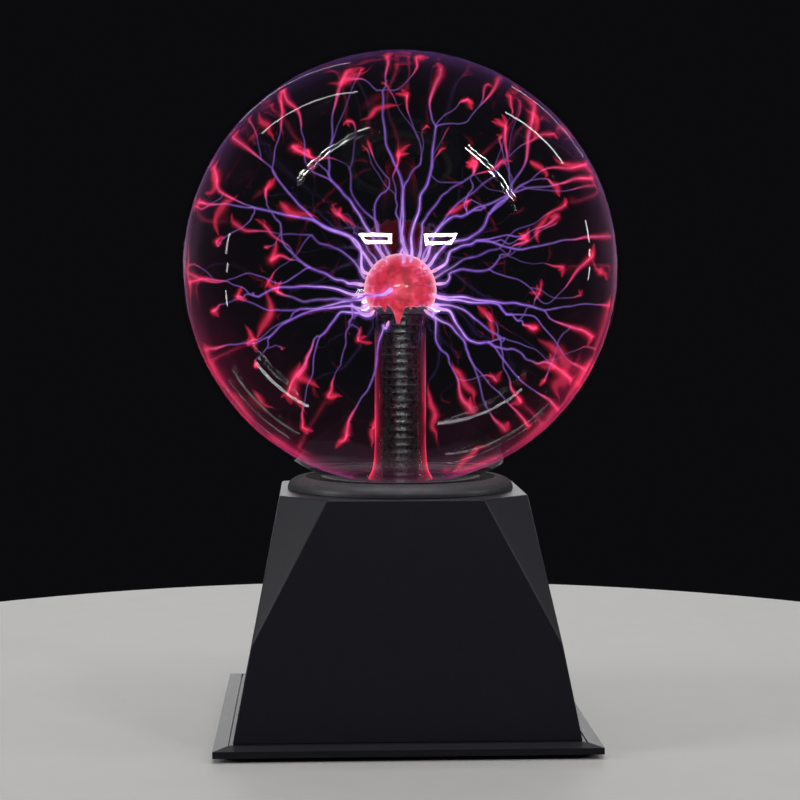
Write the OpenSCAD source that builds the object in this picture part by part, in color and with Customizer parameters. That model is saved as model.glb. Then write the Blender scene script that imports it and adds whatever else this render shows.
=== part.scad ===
// Plasma ball on a faceted base: glass globe, stem with electrode, collar, housing, plate, electronics,
// rear inlet and rocker switch. Millimetres. Origin on the resting surface, below the globe's axis.
// +Z is up, the front faces -Y, and the switch and the inlet are on the +Y side.

/* [Globe] */
// Outside radius of the globe
globe_r = 100; // [97:0.5:102]
// Thickness of the globe's glass
globe_wall = 1.8; // [1.2:0.1:2.4]
// How far the globe's lowest point lies below the deck
globe_sink = 0.3; // [0:0.1:0.6]
// Outside radius of the globe's neck
neck_r = 22; // [21.5:0.1:22.5]

/* [Stem and electrode] */
// Height of the electrode's centre above the resting surface
electrode_z = 196.5; // [192:0.5:202]
// Radius of the electrode over its coating
electrode_r = 16.5; // [15.5:0.1:17.5]
// Outside radius of the glass stem
stem_r = 11.4; // [11:0.1:12]
// Thickness of the stem's glass
stem_wall = 1.4; // [1:0.1:1.6]
// Radius of the ribbed sleeve over its ribs
sleeve_r = 8.7; // [8:0.1:9]
// Distance from one rib of the sleeve to the next
rib_pitch = 3.4; // [3:0.1:4]

/* [Base] */
// Width of the housing at its foot
foot_w = 147.4; // [146:0.2:148]
// Width of the deck from flat to flat
deck_w = 109; // [108:0.2:110]
// Length of each of the deck's four straight edges
deck_edge = 67.6; // [64:0.2:70]
// Height of the housing without the plate
body_h = 100.4; // [99:0.2:102]
// Height above the resting surface at which the corner facets end in a point
facet_z = 45.2; // [42:0.2:50]
// Thickness of the housing's walls
wall = 2.5; // [2.2:0.1:2.8]
// Thickness of the deck
deck_t = 3; // [2.5:0.1:3.2]

/* [Base plate] */
// Width of the plate
plate_w = 163.5; // [162:0.5:166]
// Height of the plate's upright edge
plate_edge_h = 2.8; // [2.6:0.1:3.2]
// Rise of the plate's bevel
plate_bevel = 1.1; // [0.9:0.1:1.4]
// How far the feet stand out below the plate
foot_gap = 2; // [1.5:0.1:3]

/* [Collar] */
// Radius of the collar where it meets the deck
collar_r = 51.3; // [50.5:0.1:51.8]
// Radius of the collar's rim
rim_r = 43.8; // [43.5:0.1:44.5]
// Height of the rim above the deck
rim_h = 5.6; // [5:0.1:6]

/* [Switch and inlet] */
// Rocker travel from the on stop to the sound stop, in degrees
rocker_travel = 24; // [20:1:26]
// Distance of the switch's centre from the middle of the back
switch_x = 17; // [15:0.5:20]
// Distance of the inlet's centre from the middle of the back
inlet_x = 17; // [13:0.5:22]

/* [Hidden] */
$fn = 96;
resistor_count = 4;

tiny = 0.01;
far = 400;

// Levels
plate_z = foot_gap;
edge_z = plate_z + plate_edge_h;
seat_z = edge_z + plate_bevel;
deck_z = seat_z + body_h;
globe_z = deck_z + globe_r - globe_sink;

// Housing: the walls lean in at one slope, the corner facets at another
foot_half = foot_w / 2;
deck_half = deck_w / 2;
edge_half = deck_edge / 2;
wall_slope = (foot_half - deck_half) / body_h;
facet_drop = deck_z - facet_z;
facet_half = deck_half + wall_slope * facet_drop;
deck_reach = (deck_half + edge_half) / sqrt(2);
facet_slope = (sqrt(2) * facet_half - deck_reach) / facet_drop;
hole_r = 46;

// Base plate
plate_half = plate_w / 2;
groove_in = foot_half + 1.2;
groove_out = groove_in + 0.7;
groove_z = edge_z;
locating_rim = [foot_half - 5.3, foot_half - 3.7, 3.6];
foot_r = 7.5;
foot_place = 71;
foot_depth = 1;
screw_place = 58;
screw_head = [3.2, 1.6];
boss_r = 5;
boss_h = 20;
boss_rib_lift = 4.2;
pilot_r = 1.25;
screw_r = 1.2;

// Collar, gasket and clamp
shelf_r = 36.5;
shelf_drop = 1.3;
throat_r = 27;
spigot_r = 45.7;
spigot_wall = 2.2;
spigot_depth = 8.3;
neck_end_z = 78.6;
grommet_t = 2.5;
grommet_span = [84, 95];
clamp_span = [91, 94];
clamp_boss_place = 52;
clamp_hub_wall = 3;

// Stem
stem_bore = stem_r - stem_wall;
bulb_r = electrode_r - 0.4;
bulb_bore = bulb_r - stem_wall;
coating_drop = 8.3;
neck_bore = neck_r - globe_wall;
flare_r = neck_bore - stem_r;
flare_z = neck_end_z + flare_r + stem_wall;
plug_h = 4.5;
sleeve_z = flare_z + plug_h;
sleeve_top = electrode_z - 11;
sleeve_bore = 4.5;
rib_depth = 0.55;
rib_count = floor((sleeve_top - sleeve_z) / rib_pitch);
lead_r = 1.5;

// Circuit board
post_h = 8;
board_z = seat_z + post_h + 0.1;
board_size = [96, 72, 1.6];
board_top = board_z + board_size[2];
post_x = 43;
post_y = 31;

// High-voltage transformer: two round legs joined by two yokes
clip_t = 0.8;
clip_w = 4.6;
clip_x = -18.5;
core_z = board_top + clip_t;
core_y = -17;
leg_r = 6;
leg_gap = 32;
yoke_h = 10;
window_h = 20;
core_h = 2 * yoke_h + window_h;
coil_z = core_z + yoke_h;
bobbin_bore = leg_r + 0.2;
bobbin_tube = bobbin_bore + 1;
flange_t = 1;
secondary_r = 15;
secondary_sections = 4;
primary_r = 10;

// Other parts on the board, as [x, y] places
sink_place = [22, -26];
sink_size = [24, 14, 30];
capacitor_place = [[22, 25], [35, 25]];
film_place = [[-36, 12], [-36, 22]];
timer_place = [-14, 22];
audio_place = [2, 22];
diode_place = [36, 6];
resistor_place = [-22, -33];
resistor_step = 9;
microphone_place = [-22, 8];
trimmer_place = [18, 8];
header_place = [0, 33];

// Rear controls
panel_y = 63;
panel_t = 2.5;
recess_half = 34;
recess_span = [13, 42];
control_z = 27.5;
jack_r = 4;
jack_flange = [5.5, 1.6];
jack_depth = 12;
socket_r = 2.9;
socket_depth = 9.5;
jack_pin_r = 1;
jack_pin_len = 8;
rocker_half = rocker_travel / 2;
pivot_y = panel_y - 1;
rocker_w = 10;
rocker_sweep = 8.1;
trunnion_r = 1.2;
frame_in = [10.4, 16.6];
frame_out = [12.8, 18.8];
bezel = [15, 21, 2];
frame_depth = 13.5;
frame_floor = 1.5;
blade_y = pivot_y - 8.6;
blade_tilt = rocker_half * 2 / 3;
blade_size = [5, 0.5, 12];
plunger_tip = 7.1;
plunger_r = 0.8;
contact_gap = 0.15;

// Half width of the housing's outside at a height, set in by a wall of thickness t
function half_at(z, t = 0) = deck_half + wall_slope * (deck_z - z) - t * sqrt(1 + pow(wall_slope, 2));
// Distance from the axis to a corner facet at a height, set in by a wall of thickness t
function reach_at(z, t = 0) = deck_reach + facet_slope * (deck_z - z) - t * sqrt(1 + pow(facet_slope, 2));
// Height at which the facets of that inner or outer surface end in a point
function point_at(t) = deck_z
    - (sqrt(2) * half_at(deck_z, t) - reach_at(deck_z, t)) / (facet_slope - sqrt(2) * wall_slope);
// A point turned by k quarter turns about the axis
function quarter(p, k) = [
    p[0] * cos(90 * k) - p[1] * sin(90 * k),
    p[0] * sin(90 * k) + p[1] * cos(90 * k),
    p[2]
];
function unit(v) = v / norm(v);
function arc(r, from, to, steps) = [for (i = [0:steps]) r * [
    cos(from + (to - from) * i / steps),
    sin(from + (to - from) * i / steps)
]];

// The housing's faceted body between two heights, set in by t: each corner gives four points
module faceted_body(z0, z1, t = 0) {
    apex_z = point_at(t);
    top = half_at(z1, t);
    cut = sqrt(2) * reach_at(z1, t) - top;
    corner = [
        [half_at(z0, t), half_at(z0, t), z0],
        [half_at(apex_z, t), half_at(apex_z, t), apex_z],
        [top, cut, z1],
        [cut, top, z1]
    ];
    points = [for (k = [0:3]) for (p = corner) quarter(p, k)];
    sides = [for (k = [0:3]) let (a = 4 * k, b = 4 * ((k + 1) % 4)) [a, a + 1, a + 3, b + 2, b + 1, b]];
    facets = [for (k = [0:3]) [4 * k + 1, 4 * k + 2, 4 * k + 3]];
    lid = [for (k = [3:-1:0]) each [4 * k + 3, 4 * k + 2]];
    polyhedron(points, concat([[0, 4, 8, 12]], sides, facets, [lid]));
}

module block(from, to) {
    translate(from) cube(to - from);
}

module square_ring(outer, inner, h) {
    difference() {
        translate([-outer, -outer, 0]) cube([2 * outer, 2 * outer, h]);
        translate([-inner, -inner, -1]) cube([2 * inner, 2 * inner, h + 2]);
    }
}

module tube(outer, inner, z0, z1) {
    translate([0, 0, z0]) difference() {
        cylinder(r = outer, h = z1 - z0);
        translate([0, 0, -1]) cylinder(r = inner, h = z1 - z0 + 2);
    }
}

module at_corners(x, y = undef) {
    for (sx = [-1, 1], sy = [-1, 1]) translate([sx * x, sy * (is_undef(y) ? x : y), 0]) children();
}

// Cross-recessed screw with its head's underside at z = 0 and its shank upwards
module screw(r, len, head) {
    difference() {
        union() {
            cylinder(r = r, h = len, $fn = 32);
            translate([0, 0, -head[1]]) cylinder(r = head[0], h = head[1], $fn = 32);
        }
        for (a = [0, 90]) rotate(a) translate([0, 0, -head[1]]) cube([head[0] * 1.1, 0.7, 1.6], center = true);
    }
}

// Round wire along a path of points, with flat ends
module wire(path, r, sides = 8) {
    last = len(path) - 1;
    function along(i) = unit(path[min(i + 1, last)] - path[max(i - 1, 0)]);
    function across(i) = unit(cross(along(i), [0.31, 0.17, 0.94]));
    function ring(i) = let (a = across(i), b = cross(along(i), a))
        [for (s = [0:sides - 1]) path[i] + r * (a * cos(360 * s / sides) + b * sin(360 * s / sides))];
    points = [for (i = [0:last]) each ring(i)];
    walls = [for (i = [0:last - 1], s = [0:sides - 1]) let (n = (s + 1) % sides)
        [i * sides + s, (i + 1) * sides + s, (i + 1) * sides + n, i * sides + n]];
    ends = [[for (s = [0:sides - 1]) s], [for (s = [sides - 1:-1:0]) last * sides + s]];
    polyhedron(points, concat(walls, ends));
}

// ---- Base ----

module control_recess(grow) {
    block(
        [-recess_half - grow, panel_y - grow, recess_span[0] - grow],
        [recess_half + grow, far, recess_span[1] + grow]
    );
}

module plate_boss() {
    translate([0, 0, seat_z]) cylinder(r = boss_r, h = boss_h);
    for (a = [0, 90]) rotate(a) translate([0, -0.8, seat_z + boss_rib_lift])
        cube([foot_half, 1.6, boss_h - boss_rib_lift - 2]);
}

module base_housing() {
    color("#1d1d21") difference() {
        union() {
            difference() {
                faceted_body(seat_z, deck_z);
                faceted_body(seat_z - tiny, deck_z - deck_t, wall);
            }
            intersection() {
                union() {
                    control_recess(panel_t);
                    for (k = [0:3]) rotate(90 * k) translate([screw_place, screw_place, 0]) plate_boss();
                }
                faceted_body(seat_z, deck_z, wall / 2);
            }
            for (k = [0:3]) rotate(45 + 90 * k) translate([clamp_boss_place, 0, clamp_span[1]])
                cylinder(r = 4, h = deck_z - deck_t - clamp_span[1]);
        }
        control_recess(0);
        translate([0, 0, deck_z - deck_t - 1]) cylinder(r = hole_r, h = deck_t + 2);
        at_corners(screw_place) translate([0, 0, seat_z - 1]) cylinder(r = pilot_r, h = 15, $fn = 32);
        for (k = [0:3]) rotate(45 + 90 * k) translate([clamp_boss_place, 0, clamp_span[1] - 1])
            cylinder(r = pilot_r, h = 8, $fn = 32);
        translate([-inlet_x, panel_y + 1, control_z]) rotate([90, 0, 0])
            cylinder(r = jack_r + 0.1, h = panel_t + 2);
        block(
            [switch_x - frame_out[0] / 2 - 0.1, panel_y - panel_t - 1, control_z - frame_out[1] / 2 - 0.1],
            [switch_x + frame_out[0] / 2 + 0.1, panel_y + 1, control_z + frame_out[1] / 2 + 0.1]
        );
    }
}

module base_plate() {
    color("#232327") difference() {
        union() {
            translate([-plate_half, -plate_half, plate_z]) cube([plate_w, plate_w, plate_edge_h]);
            translate([0, 0, edge_z]) linear_extrude(height = plate_bevel, scale = groove_out / plate_half)
                square(plate_w, center = true);
            translate([0, 0, seat_z - tiny])
                square_ring(locating_rim[1], locating_rim[0], locating_rim[2] + tiny);
            at_corners(post_x, post_y) translate([0, 0, seat_z - tiny]) cylinder(r = 3.5, h = post_h + tiny);
        }
        translate([0, 0, groove_z]) square_ring(groove_out, groove_in, 5);
        at_corners(post_x, post_y) translate([0, 0, seat_z - 2]) cylinder(r = pilot_r, h = 20, $fn = 32);
        at_corners(screw_place) {
            translate([0, 0, -1]) cylinder(r = screw_r + 0.4, h = 20, $fn = 32);
            translate([0, 0, -1]) cylinder(r = screw_head[0] + 0.3, h = plate_z + 2.8, $fn = 32);
        }
        at_corners(foot_place) translate([0, 0, -1]) cylinder(r = foot_r + 0.2, h = plate_z + foot_depth + 1);
    }
}

module foot(i) {
    color("#141414") rotate(90 * i) translate([foot_place, foot_place, 0]) union() {
        translate([0, 0, 0.6]) cylinder(r = foot_r, h = plate_z + foot_depth - 0.6);
        cylinder(r1 = foot_r - 0.6, r2 = foot_r, h = 0.6);
    }
}

module plate_screws() {
    color("#3a3a3e") at_corners(screw_place) translate([0, 0, plate_z + 1.8]) screw(screw_r, 13, screw_head);
}

// ---- Collar and globe mounting ----

module collar_ring() {
    curve_z = deck_z + 1;
    curve = [for (p = arc(1, 0, 90, 10)) [rim_r + (collar_r - rim_r) * p[0], curve_z + (rim_h - 1) * p[1]]];
    dish_z = deck_z + rim_h - 1.9;
    profile = concat(
        [[spigot_r, deck_z], [collar_r, deck_z]],
        curve,
        [
            [rim_r - 1.2, deck_z + rim_h - 0.3],
            [shelf_r, dish_z],
            [shelf_r, deck_z + shelf_drop],
            [throat_r, deck_z + shelf_drop],
            [throat_r, deck_z - 1.7],
            [spigot_r - spigot_wall, deck_z - 1.7],
            [spigot_r - spigot_wall, deck_z - spigot_depth],
            [spigot_r, deck_z - spigot_depth]
        ]
    );
    color("#2b2b2e") union() {
        rotate_extrude() polygon(profile);
        intersection() {
            tube(hole_r + 0.6, spigot_r - 1, deck_z - deck_t - 3.2, deck_z - deck_t - 0.2);
            for (k = [0:1]) rotate(90 * k) cube([far, 9, far], center = true);
        }
    }
}

module globe_gasket() {
    color("#101010") difference() {
        tube(shelf_r - 0.3, throat_r + 1, deck_z + shelf_drop, deck_z + rim_h);
        translate([0, 0, globe_z]) sphere(r = globe_r, $fn = 200);
    }
}

module neck_grommet() {
    color("#1a1a1a") tube(neck_r + grommet_t, neck_r, grommet_span[0], grommet_span[1]);
}

module neck_clamp() {
    hub_bore = neck_r + grommet_t;
    color("#2d2d30") difference() {
        union() {
            translate([0, 0, clamp_span[0]]) cylinder(r = 36, h = clamp_span[1] - clamp_span[0]);
            translate([0, 0, grommet_span[0]])
                cylinder(r = hub_bore + clamp_hub_wall, h = clamp_span[1] - grommet_span[0]);
            for (k = [0:3]) rotate(45 + 90 * k) {
                translate([clamp_boss_place, 0, clamp_span[0]]) cylinder(r = 5, h = 3);
                translate([hub_bore + 2, -5, clamp_span[0]]) cube([clamp_boss_place - hub_bore - 2, 10, 3]);
            }
        }
        translate([0, 0, grommet_span[0] - 1]) cylinder(r = hub_bore, h = 20);
        for (k = [0:3]) rotate(45 + 90 * k) translate([clamp_boss_place, 0, clamp_span[0] - 1])
            cylinder(r = screw_r + 0.4, h = 5, $fn = 32);
    }
}

module clamp_screws() {
    color("#8a8a90") for (k = [0:3]) rotate(45 + 90 * k) translate([clamp_boss_place, 0, clamp_span[0]])
        screw(screw_r, 9, screw_head);
}

// ---- Glass ----

module globe_glass() {
    color("#c8d0e8", 0.3) difference() {
        union() {
            translate([0, 0, globe_z]) sphere(r = globe_r, $fn = 200);
            translate([0, 0, neck_end_z]) cylinder(r = neck_r, h = deck_z + 12 - neck_end_z);
        }
        translate([0, 0, globe_z]) sphere(r = globe_r - globe_wall, $fn = 200);
        translate([0, 0, neck_end_z - 1]) cylinder(r = neck_bore, h = deck_z + 15 - neck_end_z);
    }
}

module stem_shape(tube_r, ball_r) {
    shoulder = [electrode_z - 16.5, electrode_z - 10];
    translate([0, 0, flare_z]) cylinder(r = tube_r, h = electrode_z - 10 - flare_z);
    translate([0, 0, electrode_z]) sphere(r = ball_r);
    translate([0, 0, shoulder[0]])
        cylinder(r1 = tube_r, r2 = sqrt(pow(ball_r, 2) - 100), h = shoulder[1] - shoulder[0]);
}

module stem_flare() {
    translate([0, 0, flare_z]) rotate_extrude() intersection() {
        translate([neck_bore, 0]) difference() {
            circle(r = flare_r + stem_wall);
            circle(r = flare_r);
        }
        translate([0, -flare_r - stem_wall]) square([neck_bore, flare_r + stem_wall]);
    }
}

module stem_glass() {
    tip_x = 14.5;
    tip_r = 2;
    color("#c8d0e8", 0.3) difference() {
        union() {
            difference() {
                stem_shape(stem_r, bulb_r);
                translate([0, 0, -tiny]) stem_shape(stem_bore, bulb_bore);
            }
            stem_flare();
            translate([tip_x, 0, neck_end_z - 5]) cylinder(r = tip_r, h = 8, $fn = 48);
            translate([tip_x, 0, neck_end_z - 9]) cylinder(r1 = 0.4, r2 = tip_r, h = 4, $fn = 48);
        }
        translate([tip_x, 0, neck_end_z - 4]) cylinder(r = tip_r - 0.8, h = 20, $fn = 48);
    }
}

module electrode_coating() {
    color("#d8323c") intersection() {
        translate([0, 0, electrode_z]) difference() {
            sphere(r = electrode_r);
            sphere(r = bulb_r);
        }
        translate([-30, -30, electrode_z - coating_drop]) cube([60, 60, 60]);
    }
}

module core_sleeve() {
    ribs = [for (i = [0:rib_count - 1]) let (z = sleeve_z + i * rib_pitch) each [
        [sleeve_r - rib_depth, z],
        [sleeve_r - rib_depth, z + rib_pitch * 0.45],
        [sleeve_r, z + rib_pitch * 0.6],
        [sleeve_r, z + rib_pitch * 0.85]
    ]];
    end = [sleeve_r - rib_depth, sleeve_z + rib_count * rib_pitch];
    color("#141416") rotate_extrude()
        polygon(concat([[sleeve_bore, sleeve_z]], ribs, [end, [sleeve_bore, end[1]]]));
}

module stem_plug() {
    color("#7a2f22") tube(stem_bore - 0.05, lead_r, flare_z, flare_z + plug_h);
}

module hv_lead() {
    color("#b02a20") translate([0, 0, coil_z + window_h - 1])
        cylinder(r = lead_r, h = electrode_z - 8 - coil_z - window_h + 1, $fn = 32);
}

module contact_wool() {
    color("#8c8c8c") difference() {
        translate([0, 0, electrode_z]) sphere(r = bulb_bore - 0.3, $fn = 64);
        translate([0, 0, electrode_z - 20]) cylinder(r = lead_r, h = 12, $fn = 32);
        translate([0, 0, electrode_z - 20]) cylinder(r = sleeve_r + 1, h = 9.5, $fn = 32);
    }
}

// ---- Circuit board ----

module circuit_board() {
    color("#1f5a34") difference() {
        translate([-board_size[0] / 2, -board_size[1] / 2, board_z]) cube(board_size);
        at_corners(post_x, post_y) translate([0, 0, board_z - 1]) cylinder(r = 1.7, h = 4, $fn = 32);
    }
}

module board_screws() {
    color("#9a9aa0") at_corners(post_x, post_y) translate([0, 0, board_top]) mirror([0, 0, 1])
        screw(screw_r, 7, [2.6, 1.4]);
}

module core_half() {
    translate([-leg_gap, core_y - leg_r, 0]) cube([leg_gap, 2 * leg_r, yoke_h]);
    for (x = [0, -leg_gap]) translate([x, core_y, 0]) cylinder(r = leg_r, h = core_h / 2 - 0.05);
}

module lower_core() {
    color("#3b3b3d") translate([0, 0, core_z]) core_half();
}

module upper_core() {
    color("#3b3b3d") translate([0, 0, core_z + core_h]) mirror([0, 0, 1]) core_half();
}

// A strap round both yokes, in the gap between the two coils
module core_clip() {
    reach = leg_r + clip_t;
    color("#b8b8bc") translate([clip_x, core_y, core_z]) difference() {
        block([-clip_w / 2, -reach, -clip_t], [clip_w / 2, reach, core_h + clip_t]);
        block([-clip_w, -leg_r, 0], [clip_w, leg_r, core_h]);
    }
}

module bobbin(x, flange_r, sections) {
    pitch = (window_h - flange_t - 0.4) / sections;
    translate([x, core_y, coil_z + 0.2]) difference() {
        union() {
            cylinder(r = bobbin_tube, h = window_h - 0.4);
            for (i = [0:sections]) translate([0, 0, i * pitch]) cylinder(r = flange_r, h = flange_t);
        }
        translate([0, 0, -1]) cylinder(r = bobbin_bore, h = window_h + 2);
    }
}

module winding(x, r, sections) {
    pitch = (window_h - flange_t - 0.4) / sections;
    for (i = [0:sections - 1]) translate([x, core_y, coil_z + 0.2 + flange_t + i * pitch])
        tube(r, bobbin_tube, 0, pitch - flange_t);
}

module primary_bobbin() {
    color("#d9d4c0") bobbin(-leg_gap, primary_r, 1);
}

module primary_winding() {
    color("#b5652a") winding(-leg_gap, primary_r - 0.8, 1);
}

// The top flange carries a lug that brings the high-voltage end onto the globe's axis
module secondary_bobbin() {
    lug_z = coil_z + window_h - 0.2 - flange_t;
    color("#e8e4d4") difference() {
        union() {
            bobbin(0, secondary_r, secondary_sections);
            block([-3, core_y + secondary_r - 0.6, lug_z - 3], [3, 3, lug_z + flange_t]);
        }
        translate([0, 0, lug_z - 5]) cylinder(r = lead_r, h = 10, $fn = 32);
    }
}

module secondary_winding() {
    color("#7a3a1a") winding(0, secondary_r - 0.8, secondary_sections);
}

module hv_terminal() {
    color("#c9a13b") translate([0, 0, coil_z + window_h - 4.2]) cylinder(r = lead_r, h = 3.2, $fn = 32);
}

module heat_sink() {
    fin_t = 1.2;
    fin_pitch = (sink_size[0] - fin_t) / 6;
    color("#b9bcc0") translate([sink_place[0], sink_place[1], board_top]) difference() {
        union() {
            translate([0, sink_size[1] - 2.5, 0]) cube([sink_size[0], 2.5, sink_size[2]]);
            for (i = [0:6]) translate([i * fin_pitch, 0, 0]) cube([fin_t, sink_size[1] - 1, sink_size[2]]);
        }
        translate([sink_size[0] / 2, sink_size[1] + 1, 23]) rotate([90, 0, 0])
            cylinder(r = pilot_r, h = 3.4, $fn = 32);
    }
}

module on_sink(y) {
    translate([sink_place[0] + sink_size[0] / 2, sink_place[1] + sink_size[1] + y, board_top]) children();
}

module insulating_pad() {
    color("#d8d8d8") on_sink(0) difference() {
        translate([-6, 0, 6]) cube([12, 0.3, 21]);
        translate([0, 1, 23]) rotate([90, 0, 0]) cylinder(r = 1.6, h = 2, $fn = 32);
    }
}

module power_transistor() {
    color("#202022") on_sink(0.3) difference() {
        union() {
            translate([-5, 0, 7]) cube([10, 1.3, 19]);
            translate([-5, 0, 7]) cube([10, 4.4, 11]);
            for (i = [-1:1]) translate([i * 2.54 - 0.4, 2, 0]) cube([0.8, 0.6, 8]);
        }
        translate([0, 2, 23]) rotate([90, 0, 0]) cylinder(r = 1.6, h = 3, $fn = 32);
    }
}

module transistor_screw() {
    color("#9a9aa0") on_sink(1.6) translate([0, 0, 23]) rotate([90, 0, 0]) screw(screw_r, 3.8, [2.6, 1.6]);
}

module filter_capacitor(i) {
    color("#22335c") translate([capacitor_place[i - 1][0], capacitor_place[i - 1][1], board_top]) difference() {
        cylinder(r = 5, h = 16);
        translate([0, 0, 1.6]) difference() {
            tube(6, 5, 0, 1);
            tube(5.5, 4.6, -1, 2);
        }
        for (a = [0, 90]) rotate(a) translate([0, 0, 16]) cube([7, 0.4, 0.5], center = true);
    }
}

module film_capacitor(i) {
    color("#7c1f1a") translate([film_place[i - 1][0], film_place[i - 1][1], board_top + 0.6]) union() {
        translate([-6, -2.5, 0]) cube([12, 5, 9]);
        for (x = [-5, 5]) translate([x, 0, -0.6]) cylinder(r = 0.4, h = 1, $fn = 16);
    }
}

module dip_chip(pins, place) {
    long = pins / 2 * 2.54;
    translate([place[0], place[1], board_top]) difference() {
        union() {
            translate([-long / 2, -3.2, 0.8]) cube([long, 6.4, 3.4]);
            for (i = [0:pins / 2 - 1], s = [-1, 1]) translate([(i + 0.5) * 2.54 - long / 2, s * 3.7, 0])
                translate([-0.4, -0.55, 0]) cube([0.8, 1.1, 2.4]);
        }
        translate([-long / 2, 0, 3.8]) cylinder(r = 0.9, h = 1, $fn = 24);
    }
}

module timer_chip() {
    color("#18181a") dip_chip(8, timer_place);
}

module audio_chip() {
    color("#18181a") dip_chip(8, audio_place);
}

module clamp_diode() {
    color("#151515") translate([diode_place[0], diode_place[1], board_top + 1.6]) union() {
        translate([-3.5, 0, 0]) rotate([0, 90, 0]) cylinder(r = 1.6, h = 7, $fn = 32);
        for (s = [-1, 1]) translate([s * 5, 0, -1.6]) cylinder(r = 0.4, h = 1.9, $fn = 16);
        translate([-5.3, 0, 0]) rotate([0, 90, 0]) cylinder(r = 0.4, h = 10.6, $fn = 16);
    }
}

module resistor(i) {
    x = resistor_place[0] + (i - 1) * resistor_step;
    color("#c8ab78") translate([x, resistor_place[1], board_top + 1.3]) union() {
        translate([-2.6, 0, 0]) rotate([0, 90, 0]) cylinder(r = 1.1, h = 5.2, $fn = 32);
        for (s = [-1, 1]) translate([s * 2, 0, 0]) rotate([0, 90, 0])
            cylinder(r = 1.3, h = 1.2, center = true, $fn = 32);
        for (s = [-1, 1]) translate([s * 3.6, 0, -1.3]) cylinder(r = 0.3, h = 1.6, $fn = 16);
        translate([-3.9, 0, 0]) rotate([0, 90, 0]) cylinder(r = 0.3, h = 7.8, $fn = 16);
    }
}

module microphone() {
    color("#c4c4c8") translate([microphone_place[0], microphone_place[1], board_top]) difference() {
        cylinder(r = 4.8, h = 6.5);
        translate([0, 0, 5.9]) cylinder(r = 3.6, h = 1);
    }
}

module gain_trimmer() {
    color("#e4e4e0") translate([trimmer_place[0], trimmer_place[1], board_top]) difference() {
        translate([-3.5, -3.5, 0]) cube([7, 7, 4]);
        translate([0, 0, 1.4]) cylinder(r = 2.6, h = 4);
    }
}

module gain_rotor() {
    color("#e0a020") translate([trimmer_place[0], trimmer_place[1], board_top + 1.45]) difference() {
        cylinder(r = 2.54, h = 3);
        translate([0, 0, 3]) cube([4, 0.7, 1.6], center = true);
        translate([1.2, -0.35, 2.2]) rotate(45) cube([0.6, 0.6, 1]);
    }
}

module wire_header() {
    color("#efeee8") translate([header_place[0], header_place[1], board_top]) difference() {
        translate([-8, -2.5, 0]) cube([16, 5, 7]);
        for (i = [-2:2]) translate([i * 2.8, 0, 3]) cylinder(r = 0.9, h = 5, $fn = 24);
    }
}

// ---- Inlet ----

// Moves a shape drawn about +Z so that it faces out of the back, with z = 0 on the panel's face
module from_panel(x) {
    translate([x, panel_y, control_z]) rotate([-90, 0, 0]) children();
}

module power_jack() {
    mouth = jack_flange[1];
    color("#18181a") from_panel(-inlet_x) difference() {
        union() {
            translate([0, 0, -jack_depth]) cylinder(r = jack_r, h = jack_depth + mouth);
            cylinder(r = jack_flange[0], h = mouth);
        }
        translate([0, 0, mouth - socket_depth]) cylinder(r = socket_r, h = socket_depth + 1);
        translate([0, 0, -jack_depth - 1]) cylinder(r = 1.3, h = jack_depth, $fn = 32);
        for (x = [-2.6, 2.6]) translate([x - 0.3, -0.9, -jack_depth - 1]) cube([0.6, 1.8, 3]);
    }
}

module jack_pin() {
    floor_z = jack_flange[1] - socket_depth;
    color("#c9ccd2") from_panel(-inlet_x) union() {
        translate([0, 0, floor_z]) cylinder(r = jack_pin_r, h = jack_pin_len, $fn = 32);
        translate([0, 0, floor_z + jack_pin_len]) cylinder(r1 = jack_pin_r, r2 = 0.5, h = 0.5, $fn = 32);
        translate([0, 0, -jack_depth]) cylinder(r = 1.3, h = floor_z + jack_depth, $fn = 32);
    }
}

module jack_terminals() {
    color("#c9a13b") from_panel(-inlet_x) for (x = [-2.6, 2.6])
        translate([x - 0.3, -0.9, -jack_depth - 6]) cube([0.6, 1.8, 8]);
}

module jack_nut() {
    color("#b8b8bc") from_panel(-inlet_x) translate([0, 0, -panel_t - 2]) difference() {
        cylinder(r = 5.8, h = 2, $fn = 6);
        translate([0, 0, -1]) cylinder(r = jack_r, h = 4);
    }
}

// ---- Rocker switch: three positions, on, off and sound ----

// Turns a shape about the rocker's pivot; the angle is positive when the upper end goes in
module about_pivot(y, angle) {
    translate([switch_x, y, control_z]) rotate([angle, 0, 0]) children();
}

module switch_frame() {
    floor_y = panel_y - frame_depth;
    color("#151517") difference() {
        union() {
            block(
                [switch_x - frame_out[0] / 2, floor_y, control_z - frame_out[1] / 2],
                [switch_x + frame_out[0] / 2, panel_y + tiny, control_z + frame_out[1] / 2]
            );
            block(
                [switch_x - bezel[0] / 2, panel_y, control_z - bezel[1] / 2],
                [switch_x + bezel[0] / 2, panel_y + bezel[2], control_z + bezel[1] / 2]
            );
        }
        block(
            [switch_x - frame_in[0] / 2, floor_y + frame_floor, control_z - frame_in[1] / 2],
            [switch_x + frame_in[0] / 2, panel_y + 5, control_z + frame_in[1] / 2]
        );
        about_pivot(pivot_y, 0) rotate([0, 90, 0])
            cylinder(r = trunnion_r + 0.05, h = frame_out[0] + 1, center = true, $fn = 48);
        for (z = [-5.5, 0, 5.5]) translate([switch_x, floor_y, control_z + z])
            cube([4.9, 5, 0.9], center = true);
    }
}

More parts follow.
